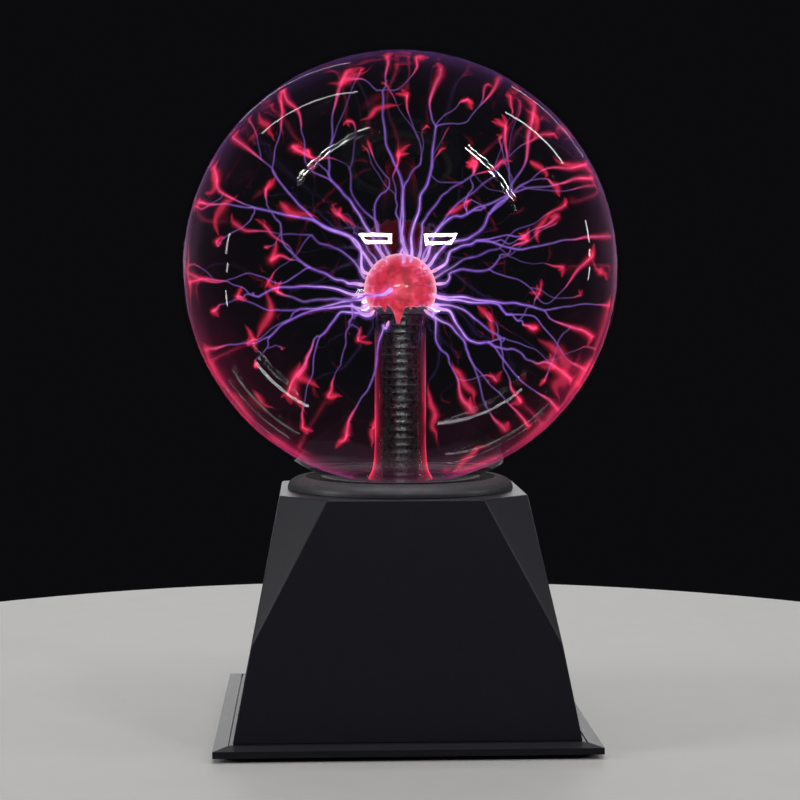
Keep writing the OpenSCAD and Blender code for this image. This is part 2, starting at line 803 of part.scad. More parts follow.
module switch_rocker() {
    outline = [[-9, 4.85], [0, 3.6], [9, 4.85], [9, -2.4], [-9, -2.4]];
    color("#1b1b1e") about_pivot(pivot_y, rocker_half) difference() {
        union() {
            rotate([0, -90, 0]) linear_extrude(height = rocker_w, center = true) intersection() {
                circle(r = rocker_sweep);
                polygon(outline);
            }
            rotate([0, 90, 0]) cylinder(r = trunnion_r, h = frame_in[0] + 1.8, center = true, $fn = 48);
            translate([0, -1, 0]) rotate([90, 0, 0]) cylinder(r = 1.9, h = 4.6, $fn = 48);
        }
        translate([0, -1.5, 0]) rotate([90, 0, 0]) cylinder(r = 0.95, h = 6, $fn = 32);
    }
}

module switch_plunger() {
    color("#d8d4c8") about_pivot(pivot_y, rocker_half) union() {
        translate([0, -2.5, 0]) rotate([90, 0, 0]) cylinder(r = plunger_r, h = plunger_tip - 2.5, $fn = 32);
        translate([0, -plunger_tip, 0]) sphere(r = plunger_r, $fn = 32);
    }
}

module contact_blade() {
    color("#c98a4a") about_pivot(blade_y, -blade_tilt) union() {
        translate([-blade_size[0] / 2, 0, -blade_size[2] / 2]) cube(blade_size);
    }
}

module switch_terminals() {
    floor_y = panel_y - frame_depth;
    end_y = blade_y - (blade_size[2] / 2 + 0.25) * tan(blade_tilt) - contact_gap;
    color("#c9a13b") translate([switch_x, 0, control_z]) {
        for (z = [-5.5, 5.5]) {
            block([-2.4, floor_y - 7, z - 0.4], [2.4, end_y - 0.5, z + 0.4]);
            translate([0, end_y, z]) rotate([90, 0, 0]) cylinder(r = 0.8, h = 0.6, $fn = 32);
        }
        block([-2.4, floor_y - 7, -0.4], [2.4, blade_y - 0.8, 0.4]);
        translate([0, blade_y - 0.05, 0]) rotate([90, 0, 0]) cylinder(r1 = 0.25, r2 = 0.4, h = 0.8, $fn = 32);
    }
}

// ---- Wires ----

module power_wires() {
    end_y = panel_y - jack_depth - 6;
    for (s = [0, 1]) color(s == 0 ? "#a02020" : "#202020") wire([
        [-inlet_x + (s * 2 - 1) * 2.6, end_y, control_z],
        [-inlet_x + (s * 2 - 1) * 2.6, end_y - 2, control_z],
        [-inlet_x + 2 + s * 4, end_y - 6, control_z + 1],
        [-10 + s * 3, end_y - 9, control_z + 1],
        [-6.4 + s * 2.8, header_place[1] + 1, control_z - 1],
        [-5.6 + s * 2.8, header_place[1], control_z - 3],
        [-5.6 + s * 2.8, header_place[1], board_top + 3]
    ], 0.75);
}

module switch_wires() {
    end_y = panel_y - frame_depth - 7;
    for (s = [0:2]) color("#d0d0d0") wire([
        [switch_x, end_y, control_z + (s - 1) * 5.5],
        [switch_x, end_y - 1.5, control_z + (s - 1) * 5.5],
        [switch_x - 3, end_y - 4, control_z + (s - 1) * 4],
        [switch_x - 8 + s, end_y - 6, control_z + (s - 1) * 2.5],
        [s * 2.8 + 1, header_place[1] + 1, control_z - 1 + s * 1.5],
        [s * 2.8, header_place[1], control_z - 3],
        [s * 2.8, header_place[1], board_top + 3]
    ], 0.75);
}

base_housing();
base_plate();
for (i = [1:4]) foot(i);
plate_screws();
collar_ring();
globe_gasket();
neck_grommet();
neck_clamp();
clamp_screws();
globe_glass();
stem_glass();
electrode_coating();
core_sleeve();
stem_plug();
hv_lead();
contact_wool();
circuit_board();
board_screws();
lower_core();
upper_core();
core_clip();
primary_bobbin();
primary_winding();
secondary_bobbin();
secondary_winding();
hv_terminal();
heat_sink();
insulating_pad();
power_transistor();
transistor_screw();
for (i = [1:2]) filter_capacitor(i);
for (i = [1:2]) film_capacitor(i);
timer_chip();
audio_chip();
clamp_diode();
for (i = [1:resistor_count]) resistor(i);
microphone();
gain_trimmer();
gain_rotor();
wire_header();
power_jack();
jack_pin();
jack_terminals();
jack_nut();
switch_frame();
switch_rocker();
switch_plunger();
contact_blade();
switch_terminals();
power_wires();
switch_wires();
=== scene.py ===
"""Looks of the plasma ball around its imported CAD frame: metres, front towards -Y, up is +Z."""
import math
import random

import bmesh
import bpy
import numpy as np
from mathutils import Matrix, Vector, noise


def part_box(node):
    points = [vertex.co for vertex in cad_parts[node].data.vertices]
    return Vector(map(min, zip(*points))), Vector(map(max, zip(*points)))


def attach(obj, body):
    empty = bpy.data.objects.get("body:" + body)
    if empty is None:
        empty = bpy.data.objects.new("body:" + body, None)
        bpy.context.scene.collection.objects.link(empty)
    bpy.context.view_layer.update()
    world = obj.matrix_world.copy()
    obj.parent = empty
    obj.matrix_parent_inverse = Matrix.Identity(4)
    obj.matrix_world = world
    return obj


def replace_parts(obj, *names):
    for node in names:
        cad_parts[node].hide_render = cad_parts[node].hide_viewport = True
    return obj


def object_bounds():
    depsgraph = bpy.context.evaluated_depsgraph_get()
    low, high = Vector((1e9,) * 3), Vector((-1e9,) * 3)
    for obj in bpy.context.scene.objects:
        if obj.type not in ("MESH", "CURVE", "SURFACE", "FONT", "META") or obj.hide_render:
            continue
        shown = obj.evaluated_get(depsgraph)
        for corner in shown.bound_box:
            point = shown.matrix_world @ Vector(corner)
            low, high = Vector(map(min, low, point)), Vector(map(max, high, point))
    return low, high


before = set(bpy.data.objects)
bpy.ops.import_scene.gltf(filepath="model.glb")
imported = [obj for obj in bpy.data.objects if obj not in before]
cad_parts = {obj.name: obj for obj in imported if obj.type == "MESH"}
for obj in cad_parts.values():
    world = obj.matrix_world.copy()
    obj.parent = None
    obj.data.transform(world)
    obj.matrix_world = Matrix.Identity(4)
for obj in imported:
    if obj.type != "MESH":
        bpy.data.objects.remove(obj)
cad_low, cad_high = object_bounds()

MM = 0.001

# ---- Places and sizes, from the frame ----

globe_low, globe_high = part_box("globe_glass")
GLOBE_R = globe_high.x
GLOBE = Vector((0, 0, globe_high.z - GLOBE_R))
GLASS_WALL = 1.8 * MM
GAS_R = GLOBE_R - GLASS_WALL - 0.25 * MM
NECK_R = 22 * MM

coat_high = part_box("electrode_coating")[1]
COAT_R = coat_high.x
ELECTRODE = Vector((0, 0, coat_high.z - COAT_R))
COAT_T = 0.4 * MM
BULB_R = COAT_R - COAT_T

sleeve_low, sleeve_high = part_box("core_sleeve")
SLEEVE_R = sleeve_high.x
RIB_PITCH = 3.4 * MM
STEM_R, STEM_WALL = 11.4 * MM, 1.4 * MM
FLARE_Z = globe_low.z + 10.2 * MM
SHOULDER = (ELECTRODE.z - 16.5 * MM, ELECTRODE.z - 10 * MM)

DECK_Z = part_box("base_housing")[1].z
collar_low, collar_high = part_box("collar_ring")
RIM_R = 43.8 * MM

# ---- Node helpers ----


def feed(tree, socket, value):
    """Link an input to a socket, or set it to a number."""
    if isinstance(value, bpy.types.NodeSocket):
        tree.links.new(value, socket)
    else:
        socket.default_value = value


def add_node(tree, kind, **settings):
    """New shader node. Settings are its properties, or numbers or sockets for its inputs by name."""
    node = tree.nodes.new("ShaderNode" + kind)
    for key, value in settings.items():
        if hasattr(node, key):
            setattr(node, key, value)
        else:
            feed(tree, node.inputs[key.replace("_", " ")], value)
    return node


def combined(tree, kind, first, second, result, **settings):
    """Output of a node that takes two unnamed inputs."""
    node = add_node(tree, kind, **settings)
    pair = node.inputs[-2:] if kind == "MixShader" else node.inputs[:2]
    for socket, value in zip(pair, (first, second)):
        feed(tree, socket, value)
    return node.outputs[result]


def blank_material(name):
    material = bpy.data.materials.new(name)
    material.use_nodes = True
    material.node_tree.nodes.clear()
    output = add_node(material.node_tree, "OutputMaterial")
    return material, material.node_tree, output


def object_place(tree):
    return add_node(tree, "TexCoord").outputs["Object"]


def noise_value(tree, size, detail, stretch=(1, 1, 1)):
    """Factor of a 3-D noise whose features are about the given size, in metres."""
    scaled = add_node(tree, "Mapping", Vector=object_place(tree), Scale=stretch)
    cloud = add_node(tree, "TexNoise", Vector=scaled.outputs["Vector"], Scale=1 / size, Detail=detail)
    return cloud.outputs["Fac"]


def ramp(tree, factor, stops):
    """Colour ramp over a factor. Each stop is (position, colour)."""
    node = add_node(tree, "ValToRGB", Fac=factor)
    band = node.color_ramp
    while len(band.elements) < len(stops):
        band.elements.new(0.5)
    for element, (position, colour) in zip(band.elements, stops):
        element.position = position
        element.color = (*colour, 1)
    return node.outputs["Color"]


def spread(tree, factor, low, high):
    """Map a factor that mostly lies between 0.3 and 0.7 onto low to high."""
    node = add_node(tree, "MapRange", Value=factor, From_Min=0.3, From_Max=0.7, To_Min=low, To_Max=high)
    return node.outputs["Result"]


def bumped(tree, height, distance, strength=1.0, under=None):
    node = add_node(tree, "Bump", Height=height, Strength=strength, Distance=distance)
    if under is not None:
        feed(tree, node.inputs["Normal"], under)
    return node.outputs["Normal"]


def shade(colour, factor):
    return tuple(min(1.0, c * factor) for c in colour)


def surface(name, colour, roughness, tone=0.18, tone_size=0.012, grain=0.02, grain_size=0.0006,
            rough_spread=0.08, stretch=(1, 1, 1), pattern=None, **sockets):
    """Principled material with uneven tone, uneven gloss and a fine grain.

    pattern(tree) may return a factor whose relief, in tenths of a millimetre, goes under the grain.
    """
    material, tree, output = blank_material(name)
    broad = noise_value(tree, tone_size, 5.0, stretch)
    gloss = noise_value(tree, tone_size * 0.4, 6.0, stretch)
    fine = noise_value(tree, grain_size, 3.0, stretch)
    under = bumped(tree, pattern(tree), 0.1 * MM) if pattern else None
    shader = add_node(
        tree, "BsdfPrincipled",
        Base_Color=ramp(tree, broad, [(0.3, shade(colour, 1 - tone)), (0.7, shade(colour, 1 + tone))]),
        Roughness=spread(tree, gloss, max(0.02, roughness - rough_spread), roughness + rough_spread),
        Normal=bumped(tree, fine, grain * MM, 0.8, under), **sockets)
    feed(tree, output.inputs["Surface"], shader.outputs["BSDF"])
    return material


def bands(size):
    """Relief of turns stacked along Z, one per size."""
    def pattern(tree):
        wave = add_node(tree, "TexWave", wave_type="BANDS", bands_direction="Z", Vector=object_place(tree),
                        Scale=math.pi / 10 / size, Distortion=0.0)
        return wave.outputs["Fac"]
    return pattern


def strands(size):
    """Relief of tangled fibres."""
    def pattern(tree):
        return noise_value(tree, size, 8.0, (1, 0.25, 2.5))
    return pattern


# ---- Materials of the hard parts ----


def clear_glass(name, tint, waviness):
    """Clear glass with slight waves of blown glass. Light for shadows goes straight through."""
    material, tree, output = blank_material(name)
    shader = add_node(tree, "BsdfPrincipled", Base_Color=(*tint, 1), Roughness=0.0, IOR=1.47,
                      Transmission_Weight=1.0, Normal=bumped(tree, noise_value(tree, 0.014, 2.0), waviness))
    clear = add_node(tree, "BsdfTransparent")
    path = add_node(tree, "LightPath")
    feed(tree, output.inputs["Surface"], combined(
        tree, "MixShader", shader.outputs["BSDF"], clear.outputs["BSDF"], "Shader",
        Fac=path.outputs["Is Shadow Ray"]))
    return material


def board_material():
    """Green solder mask with paler tracks under it."""
    mask, track = (0.012, 0.09, 0.035), (0.03, 0.20, 0.07)
    material = surface("board", mask, 0.35, grain_size=0.0004, Coat_Weight=0.4)
    tree = material.node_tree
    shader = next(n for n in tree.nodes if n.type == "BSDF_PRINCIPLED")
    cells = add_node(tree, "TexVoronoi", feature="DISTANCE_TO_EDGE", distance="MANHATTAN",
                     Vector=object_place(tree), Scale=220.0)
    tracks = ramp(tree, cells.outputs["Distance"], [(0.05, track), (0.08, mask)])
    feed(tree, shader.inputs["Base Color"], tracks)
    return material


def electrode_material():
    """Glowing coral coating, mottled, with a paler rim."""
    material, tree, output = blank_material("electrode_coat")
    mottle = ramp(tree, noise_value(tree, 0.0038, 10.0), [
        (0.34, (0.36, 0.004, 0.016)), (0.46, (0.62, 0.010, 0.036)), (0.56, (0.76, 0.022, 0.060)),
        (0.68, (0.92, 0.09, 0.17))])
    facing = add_node(tree, "LayerWeight", Blend=0.5).outputs["Facing"]
    rim = combined(tree, "Math", facing, 4.6, "Value", operation="POWER")
    glow = add_node(tree, "MixRGB", blend_type="MIX", Fac=rim, Color1=mottle, Color2=(3.4, 1.9, 2.6, 1))
    shader = add_node(tree, "BsdfPrincipled", Base_Color=(0.55, 0.05, 0.08, 1), Roughness=0.7,
                      Coat_Weight=1.0, Coat_Roughness=0.03, Coat_IOR=2.2,
                      Emission_Color=glow.outputs["Color"], Emission_Strength=1.0,
                      Normal=bumped(tree, noise_value(tree, 0.0009, 5.0), 0.12 * MM))
    feed(tree, output.inputs["Surface"], shader.outputs["BSDF"])
    return material


# What the moulded shells share: an even tone and a fine spark-eroded grain.
MOULDED = dict(tone=0.08, tone_size=0.004, grain=0.014, grain_size=0.0005, rough_spread=0.03)

# Slot: colour, roughness and the rest of its surface.
LOOKS = {
    "housing": ((0.018, 0.017, 0.0245), 0.40, dict(MOULDED, Specular_IOR_Level=0.35)),
    "plate": ((0.02, 0.019, 0.0255), 0.38, dict(MOULDED, Specular_IOR_Level=0.4)),
    # The rounded edges of the housing and the plate take lighter copies of their finish: a painted highlight
    # along the edges.
    "housing_edge": ((0.42, 0.41, 0.43), 0.34, dict(
        tone=0.35, tone_size=0.003, grain=0.01, rough_spread=0.05)),
    "plate_edge": ((0.09, 0.088, 0.096), 0.34, dict(
        tone=0.35, tone_size=0.003, grain=0.01, rough_spread=0.05)),
    # Near-black copy of the collar's finish for the dish: painted shade under the globe.
    "collar_dish_painted_shade": ((0.006, 0.006, 0.007), 0.8, dict(grain=0.06, Specular_IOR_Level=0.2)),
    "collar": ((0.066, 0.063, 0.07), 0.42, dict(
        tone=0.12, tone_size=0.004, grain=0.02, grain_size=0.0007, Specular_IOR_Level=0.4)),
    "clamp_plastic": ((0.028, 0.028, 0.031), 0.5, {}),
    "feet_rubber": ((0.012, 0.012, 0.012), 0.85, dict(grain=0.05, Sheen_Weight=0.2)),
    "gasket_rubber": ((0.006, 0.006, 0.007), 0.7, dict(grain=0.04)),
    "screw_steel": ((0.42, 0.42, 0.44), 0.28, dict(tone=0.12, tone_size=0.002, Metallic=1.0)),
    "sleeve_rubber": ((0.01, 0.01, 0.011), 0.32, dict(
        tone=0.3, tone_size=0.004, grain=0.06, grain_size=0.0011, rough_spread=0.15)),
    "plug_silicone": ((0.2, 0.035, 0.022), 0.45, dict(Subsurface_Weight=0.15)),
    "lead_silicone": ((0.42, 0.03, 0.02), 0.38, dict(Subsurface_Weight=0.1)),
    "steel_wool": ((0.34, 0.34, 0.35), 0.42, dict(
        tone=0.5, tone_size=0.0015, grain=0.25, grain_size=0.0005, pattern=strands(0.0008), Metallic=1.0)),
    "ferrite": ((0.022, 0.021, 0.023), 0.62, dict(tone=0.3, tone_size=0.004, grain=0.08)),
    "clip_steel": ((0.5, 0.5, 0.52), 0.30, dict(tone_size=0.004, Metallic=1.0)),
    "bobbin_plastic": ((0.045, 0.042, 0.04), 0.48, {}),
    "copper": ((0.62, 0.24, 0.1), 0.28, dict(tone_size=0.003, pattern=bands(0.0007), Metallic=1.0)),
    "brass": ((0.68, 0.5, 0.2), 0.26, dict(tone_size=0.004, Metallic=1.0)),
    "heat_sink": ((0.4, 0.41, 0.43), 0.40, dict(tone_size=0.006, stretch=(1, 1, 0.05), Metallic=1.0)),
    "mica": ((0.55, 0.53, 0.48), 0.30, dict(tone_size=0.003, Subsurface_Weight=0.1)),
    "package_black": ((0.016, 0.016, 0.017), 0.5, dict(grain=0.05, grain_size=0.0003)),
    "capacitor_sleeve": ((0.012, 0.02, 0.075), 0.24, dict(tone_size=0.006, Coat_Weight=0.3)),
    "film_epoxy": ((0.3, 0.055, 0.022), 0.28, dict(tone_size=0.004, Coat_Weight=0.3)),
    "resistor_lacquer": ((0.38, 0.26, 0.13), 0.35, dict(tone_size=0.002)),
    "rotor_plastic": ((0.75, 0.74, 0.7), 0.4, dict(tone=0.06)),
    "inlet_plastic": ((0.014, 0.014, 0.015), 0.36, dict(tone=0.2, tone_size=0.006, grain=0.03)),
    "contact_chrome": ((0.62, 0.62, 0.64), 0.16, dict(tone=0.08, tone_size=0.002, Metallic=1.0)),
    "switch_plastic": ((0.015, 0.015, 0.016), 0.34, dict(tone_size=0.008, grain=0.025)),
    "rocker_plastic": ((0.02, 0.02, 0.022), 0.22, dict(tone_size=0.008, grain=0.015)),
    "wire_insulation": ((0.03, 0.03, 0.032), 0.4, {}),
}
MATERIALS = {slot: surface(slot, colour, roughness, **rest)
             for slot, (colour, roughness, rest) in LOOKS.items()}
MATERIALS["globe_glass"] = clear_glass("globe_glass_plain", (0.985, 0.985, 1.0), 0.02 * MM)
MATERIALS["stem_glass"] = clear_glass("stem_glass_plain", (0.97, 0.98, 1.0), 0.05 * MM)
MATERIALS["electrode"] = electrode_material()
MATERIALS["board"] = board_material()

for cad_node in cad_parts.values():
    for index, old in enumerate(cad_node.data.materials):
        cad_node.data.materials[index] = MATERIALS[old.name.split(".")[0]]

# ---- Mesh helpers ----


def new_object(name, data):
    made = bpy.data.objects.new(name, data)
    bpy.context.scene.collection.objects.link(made)
    return made


def new_piece(name, data):
    """Visible piece on the root body."""
    piece = new_object(name, data)
    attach(piece, "root")
    return piece


def to_data(mesh, name, *materials):
    """Finished mesh data of a bmesh, which is freed."""
    data = bpy.data.meshes.new(name)
    mesh.to_mesh(data)
    mesh.free()
    data.materials.clear()
    for material in materials:
        data.materials.append(material)
    return data


def make_piece(name, vertices, faces, material):
    """Smooth piece from points and faces."""
    data = bpy.data.meshes.new(name)
    data.from_pydata([tuple(v) for v in vertices], [], faces)
    data.materials.append(material)
    data.validate()
    data.shade_smooth()
    return new_piece(name, data)


def lathe(name, profile, material, segments=128, sharp=35):
    """Ring turned from a closed profile of (radius, height). Points on the axis become poles."""
    mesh = bmesh.new()
    rings = []
    for turn in range(segments):
        a = 2 * math.pi * turn / segments
        rings.append([mesh.verts.new((r * math.cos(a), r * math.sin(a), z)) for r, z in profile])
    count = len(profile)
    for turn in range(segments):
        here, there = rings[turn], rings[(turn + 1) % segments]
        for i in range(count):
            j = (i + 1) % count
            if profile[i][0] < 1e-7 and profile[j][0] < 1e-7:
                continue
            mesh.faces.new((here[i], there[i], there[j], here[j]))
    bmesh.ops.remove_doubles(mesh, verts=mesh.verts, dist=1e-6)
    bmesh.ops.recalc_face_normals(mesh, faces=mesh.faces)
    data = to_data(mesh, name, material)
    data.shade_smooth()
    if sharp:
        data.set_sharp_from_angle(angle=math.radians(sharp))
    return new_piece(name, data)


def arc(centre, radius, start, end, steps):
    """Points of a circular arc. Angles in degrees, 0 along the radius, 90 up."""
    points = []
    for i in range(steps + 1):
        a = math.radians(start + (end - start) * i / steps)
        points.append((centre[0] + radius * math.cos(a), centre[1] + radius * math.sin(a)))
    return points


def bevelled_copy(node, slot, width, picks):
    """Copy of a CAD node whose picked edges are rounded, as a moulding's are. The rounded strips take a
    lighter copy of the finish: a painted highlight along the edges.
    """
    mesh = bmesh.new()
    mesh.from_mesh(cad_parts[node].data)
    bmesh.ops.remove_doubles(mesh, verts=mesh.verts, dist=1e-5)
    bmesh.ops.dissolve_limit(mesh, angle_limit=math.radians(0.5), verts=mesh.verts, edges=mesh.edges)
    edges = [e for e in mesh.edges if len(e.link_faces) == 2 and e.calc_face_angle() > 0.25 and picks(e)]
    rounded = bmesh.ops.bevel(mesh, geom=edges, offset=width, segments=3, profile=0.5, affect="EDGES",
                              clamp_overlap=True)["faces"]
    for face in mesh.faces:
        face.smooth = False
    for face in rounded:
        face.material_index, face.smooth = 1, True
    bmesh.ops.triangulate(mesh, faces=[f for f in mesh.faces if len(f.verts) > 4])
    data = to_data(mesh, node + "_shell", MATERIALS[slot], MATERIALS[slot + "_edge"])
    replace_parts(new_piece(data.name, data), node)


# ---- Base ----

# Half width and height of the housing's walls, at the foot and at the deck.
WALL_FOOT, WALL_HEAD = (73.7 * MM, 5.9 * MM), (54.5 * MM, DECK_Z)


def outer_edge(edge):
    """Whether an edge lies between the outside faces of the housing."""
    for v in edge.verts:
        share = (v.co.z - WALL_FOOT[1]) / (WALL_HEAD[1] - WALL_FOOT[1])
        half = WALL_FOOT[0] + (WALL_HEAD[0] - WALL_FOOT[0]) * share
        if max(abs(v.co.x), abs(v.co.y)) < half - 0.25 * MM:
            return False
    return edge.is_convex and edge.calc_length() > 20 * MM


def plate_outer_edge(edge):
    limit = cad_high.x - 1 * MM
    return all(max(abs(v.co.x), abs(v.co.y)) > limit for v in edge.verts)


bevelled_copy("base_housing", "housing", 0.5 * MM, outer_edge)
bevelled_copy("base_plate", "plate", 0.35 * MM, plate_outer_edge)


def make_collar():
    """Dished ring: rounded outer shoulder, crisp rim, shallow dish down to the gasket. The dish takes a
    near-black copy of the finish: painted shade under the globe.
    """
    outer, top = collar_high.x, collar_high.z
    profile = [(45.7 * MM, collar_low.z), (45.7 * MM, DECK_Z), (outer - 0.3 * MM, DECK_Z),
               (outer, DECK_Z + 0.3 * MM)]
    profile += [(outer - (outer - RIM_R) * (1 - math.cos(math.radians(a))),
                 DECK_Z + 1 * MM + (top - DECK_Z - 1 * MM) * math.sin(math.radians(a)))
                for a in range(0, 91, 5)]
    profile += arc((RIM_R - 0.3 * MM, top - 0.5 * MM), 0.5 * MM, 80, 140, 4)
    profile += [(36.8 * MM, top - 1.75 * MM), (36.5 * MM, top - 2.1 * MM), (36.5 * MM, DECK_Z + 1.3 * MM),
                (27 * MM, DECK_Z + 1.3 * MM), (27 * MM, DECK_Z - 1.7 * MM), (43.5 * MM, DECK_Z - 1.7 * MM),
                (43.5 * MM, collar_low.z)]
    piece = lathe("collar_ring_turned", profile, MATERIALS["collar"], 192)
    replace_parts(piece, "collar_ring")
    piece.data.materials.append(MATERIALS["collar_dish_painted_shade"])
    # Faces inside the rim get the painted shade.
    for face in piece.data.polygons:
        if face.center.z > DECK_Z and math.hypot(face.center.x, face.center.y) < RIM_R - 0.6 * MM:
            face.material_index = 1
    return piece


collar = make_collar()

# ---- Glass ----


def sphere_profile(radius, hole, steps):
    """Half outline of a sphere from its lowest point at radius hole up to the top pole."""
    start = -math.degrees(math.acos(hole / radius))
    return arc((0, GLOBE.z), radius, start, 90, steps)


def make_globe():
    """Blown globe with its neck, wall thickness and a soft turn from ball to neck."""
    inner_r = GLOBE_R - GLASS_WALL
    bore = NECK_R - GLASS_WALL
    foot = globe_low.z + 0.05 * MM
    outer = sphere_profile(GLOBE_R, NECK_R + 1.2 * MM, 110)
    inner = sphere_profile(inner_r, bore + 2.0 * MM, 110)
    neck_top = outer[0][1]
    profile = [(NECK_R, foot), (NECK_R, neck_top - 4 * MM), (NECK_R + 0.25 * MM, neck_top - 1.5 * MM)]
    profile += outer + inner[::-1]
    profile += [(bore + 0.4 * MM, inner[0][1] - 1.6 * MM), (bore, inner[0][1] - 4 * MM), (bore, foot)]
    piece = lathe("globe_glass_blown", profile, MATERIALS["globe_glass"], 200, sharp=60)
    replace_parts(piece, "globe_glass")
    return piece


def stem_point(s, offset=0.0):
    """Point (radius, height) at arc length s down the stem's outside from its top, moved out by offset."""
    cone_top = (math.sqrt(BULB_R ** 2 - (ELECTRODE.z - SHOULDER[1]) ** 2), SHOULDER[1])
    cone_low = (STEM_R, SHOULDER[0])
    ball = BULB_R * (math.pi - math.acos((ELECTRODE.z - SHOULDER[1]) / BULB_R))
    cone = math.dist(cone_top, cone_low)
    if s <= ball:
        a = s / BULB_R
        r = BULB_R + offset
        return r * math.sin(a), ELECTRODE.z + r * math.cos(a)
    if s <= ball + cone:
        t = (s - ball) / cone
        return (cone_top[0] + (cone_low[0] - cone_top[0]) * t + offset,
                cone_top[1] + (cone_low[1] - cone_top[1]) * t)
    return STEM_R + offset, cone_low[1] - (s - ball - cone)


def make_stem():
    """Re-entrant tube with the bulb on top and the flare that seals it into the neck."""
    full = 43 * MM
    steps = 70
    outer = [stem_point(full * i / steps) for i in range(steps + 1)]
    inner = [stem_point(full * i / steps, -STEM_WALL) for i in range(steps + 1)]
    flare_centre = (NECK_R - GLASS_WALL - 0.05 * MM, FLARE_Z)
    reach = flare_centre[0] - STEM_R
    outer_flare = arc(flare_centre, reach, 180, 262, 12)
    inner_flare = arc(flare_centre, reach + STEM_WALL, 180, 262, 12)
    profile = outer + outer_flare + inner_flare[::-1] + inner[::-1]
    piece = lathe("stem_glass_drawn", profile, MATERIALS["stem_glass"], 128, sharp=60)
    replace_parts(piece, "stem_glass")
    return piece


globe = make_globe()
stem = make_stem()


def make_sleeve():
    """Corrugated insulating sleeve: round ribs, slightly uneven as a pulled-on tube is."""
    low, bore, groove = sleeve_low.z, 4.5 * MM, SLEEVE_R - 0.55 * MM
    count = int((sleeve_high.z - low) / RIB_PITCH)
    dice = random.Random(4)
    profile = [(bore, low)]
    for i in range(count):
        z = low + i * RIB_PITCH
        crest = SLEEVE_R - dice.uniform(0, 0.08) * MM
        profile += [(groove, z), (groove, z + 0.35 * RIB_PITCH)]
        profile += arc((crest - 0.5 * MM, z + 0.68 * RIB_PITCH), 0.5 * MM, -80, 80, 6)
    top = low + count * RIB_PITCH
    profile += [(groove, top), (bore, top)]
    piece = lathe("core_sleeve_ribbed", profile, MATERIALS["sleeve_rubber"], 96, sharp=50)
    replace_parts(piece, "core_sleeve")
    return piece


sleeve = make_sleeve()


def make_coating():
    """Coating on the bulb with a ragged lower edge and runs down the shoulder."""
    dice = random.Random(11)
    columns, down = 300, 60
    edge = 33.2 * MM
    runs = [(dice.uniform(0, 2 * math.pi), dice.uniform(1.0, 3.4) * MM, dice.uniform(0.03, 0.09))
            for _ in range(12)]
    runs.append((math.radians(-97), 8.0 * MM, 0.17))
    vertices, faces = [], []

    def reach(a):
        """Arc length from the top to the coating's edge, at an angle round the bulb."""
        rough = noise.noise(Vector((math.cos(a), math.sin(a), 0)) * 4.0) * 0.7 * MM
        rough += noise.noise(Vector((math.cos(a), math.sin(a), 7)) * 15.0) * 0.9 * MM
        gaps = [(a - place + math.pi) % (2 * math.pi) - math.pi for place, _, _ in runs]
        return edge + rough + max(length * math.exp(-abs(gap / width) ** 3)
                                  for gap, (_, length, width) in zip(gaps, runs))

    for skin in (COAT_T, 0.04 * MM):
        for i in range(columns):
            a = 2 * math.pi * i / columns
            end = reach(a)
            for j in range(down + 1):
                s = end * max(j, 0.02) / down
                turn = s / BULB_R
                lump = Vector((math.cos(a) * math.sin(turn), math.sin(a) * math.sin(turn), turn))
                thick = skin
                if skin == COAT_T:
                    thick += noise.noise(lump * 9) * 0.06 * MM
                    thick *= min(1.0, 0.35 + (end - s) / (0.8 * MM))
                r, z = stem_point(s, thick)
                vertices.append((r * math.cos(a), r * math.sin(a), z))
    row = down + 1
    inner = columns * row
    for i in range(columns):
        here, there = i * row, (i + 1) % columns * row
        for j in range(down):
            k = inner + j
            faces.append((here + j, here + j + 1, there + j + 1, there + j))
            faces.append((k + there, k + there + 1, k + here + 1, k + here))
        faces.append((here + down, inner + here + down, inner + there + down, there + down))
    for base, turn in ((0, 1), (inner, -1)):
        faces.append(tuple(base + i * row for i in range(columns))[::turn])
    piece = make_piece("electrode_coating_fired", vertices, faces, MATERIALS["electrode"])
    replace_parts(piece, "electrode_coating")
    return piece


coating = make_coating()

# ---- Plasma ----


def finish_glow(material, tree, output, light, opaque=False):
    """Let a layer's light stand alone, or add to whatever is seen through it."""
    shine = light.outputs["Emission"]
    if not opaque:
        clear = add_node(tree, "BsdfTransparent").outputs["BSDF"]
        shine = combined(tree, "AddShader", clear, shine, "Shader")
    feed(tree, output.inputs["Surface"], shine)
    material.cycles.emission_sampling = "NONE"


def glow_material(name, opaque):
    """Light of the gas, coloured point by point. The soft outer layers add to what is behind them."""
    material, tree, output = blank_material(name)
    colour = add_node(tree, "VertexColor", layer_name="glow").outputs["Color"]
    uneven = spread(tree, noise_value(tree, 0.004, 3.0), 0.75, 1.25)
    scaled = add_node(tree, "VectorMath", operation="SCALE", Vector=colour, Scale=uneven)
    light = add_node(tree, "Emission", Color=scaled.outputs["Vector"], Strength=1.0)
    finish_glow(material, tree, output, light, opaque)
    return material


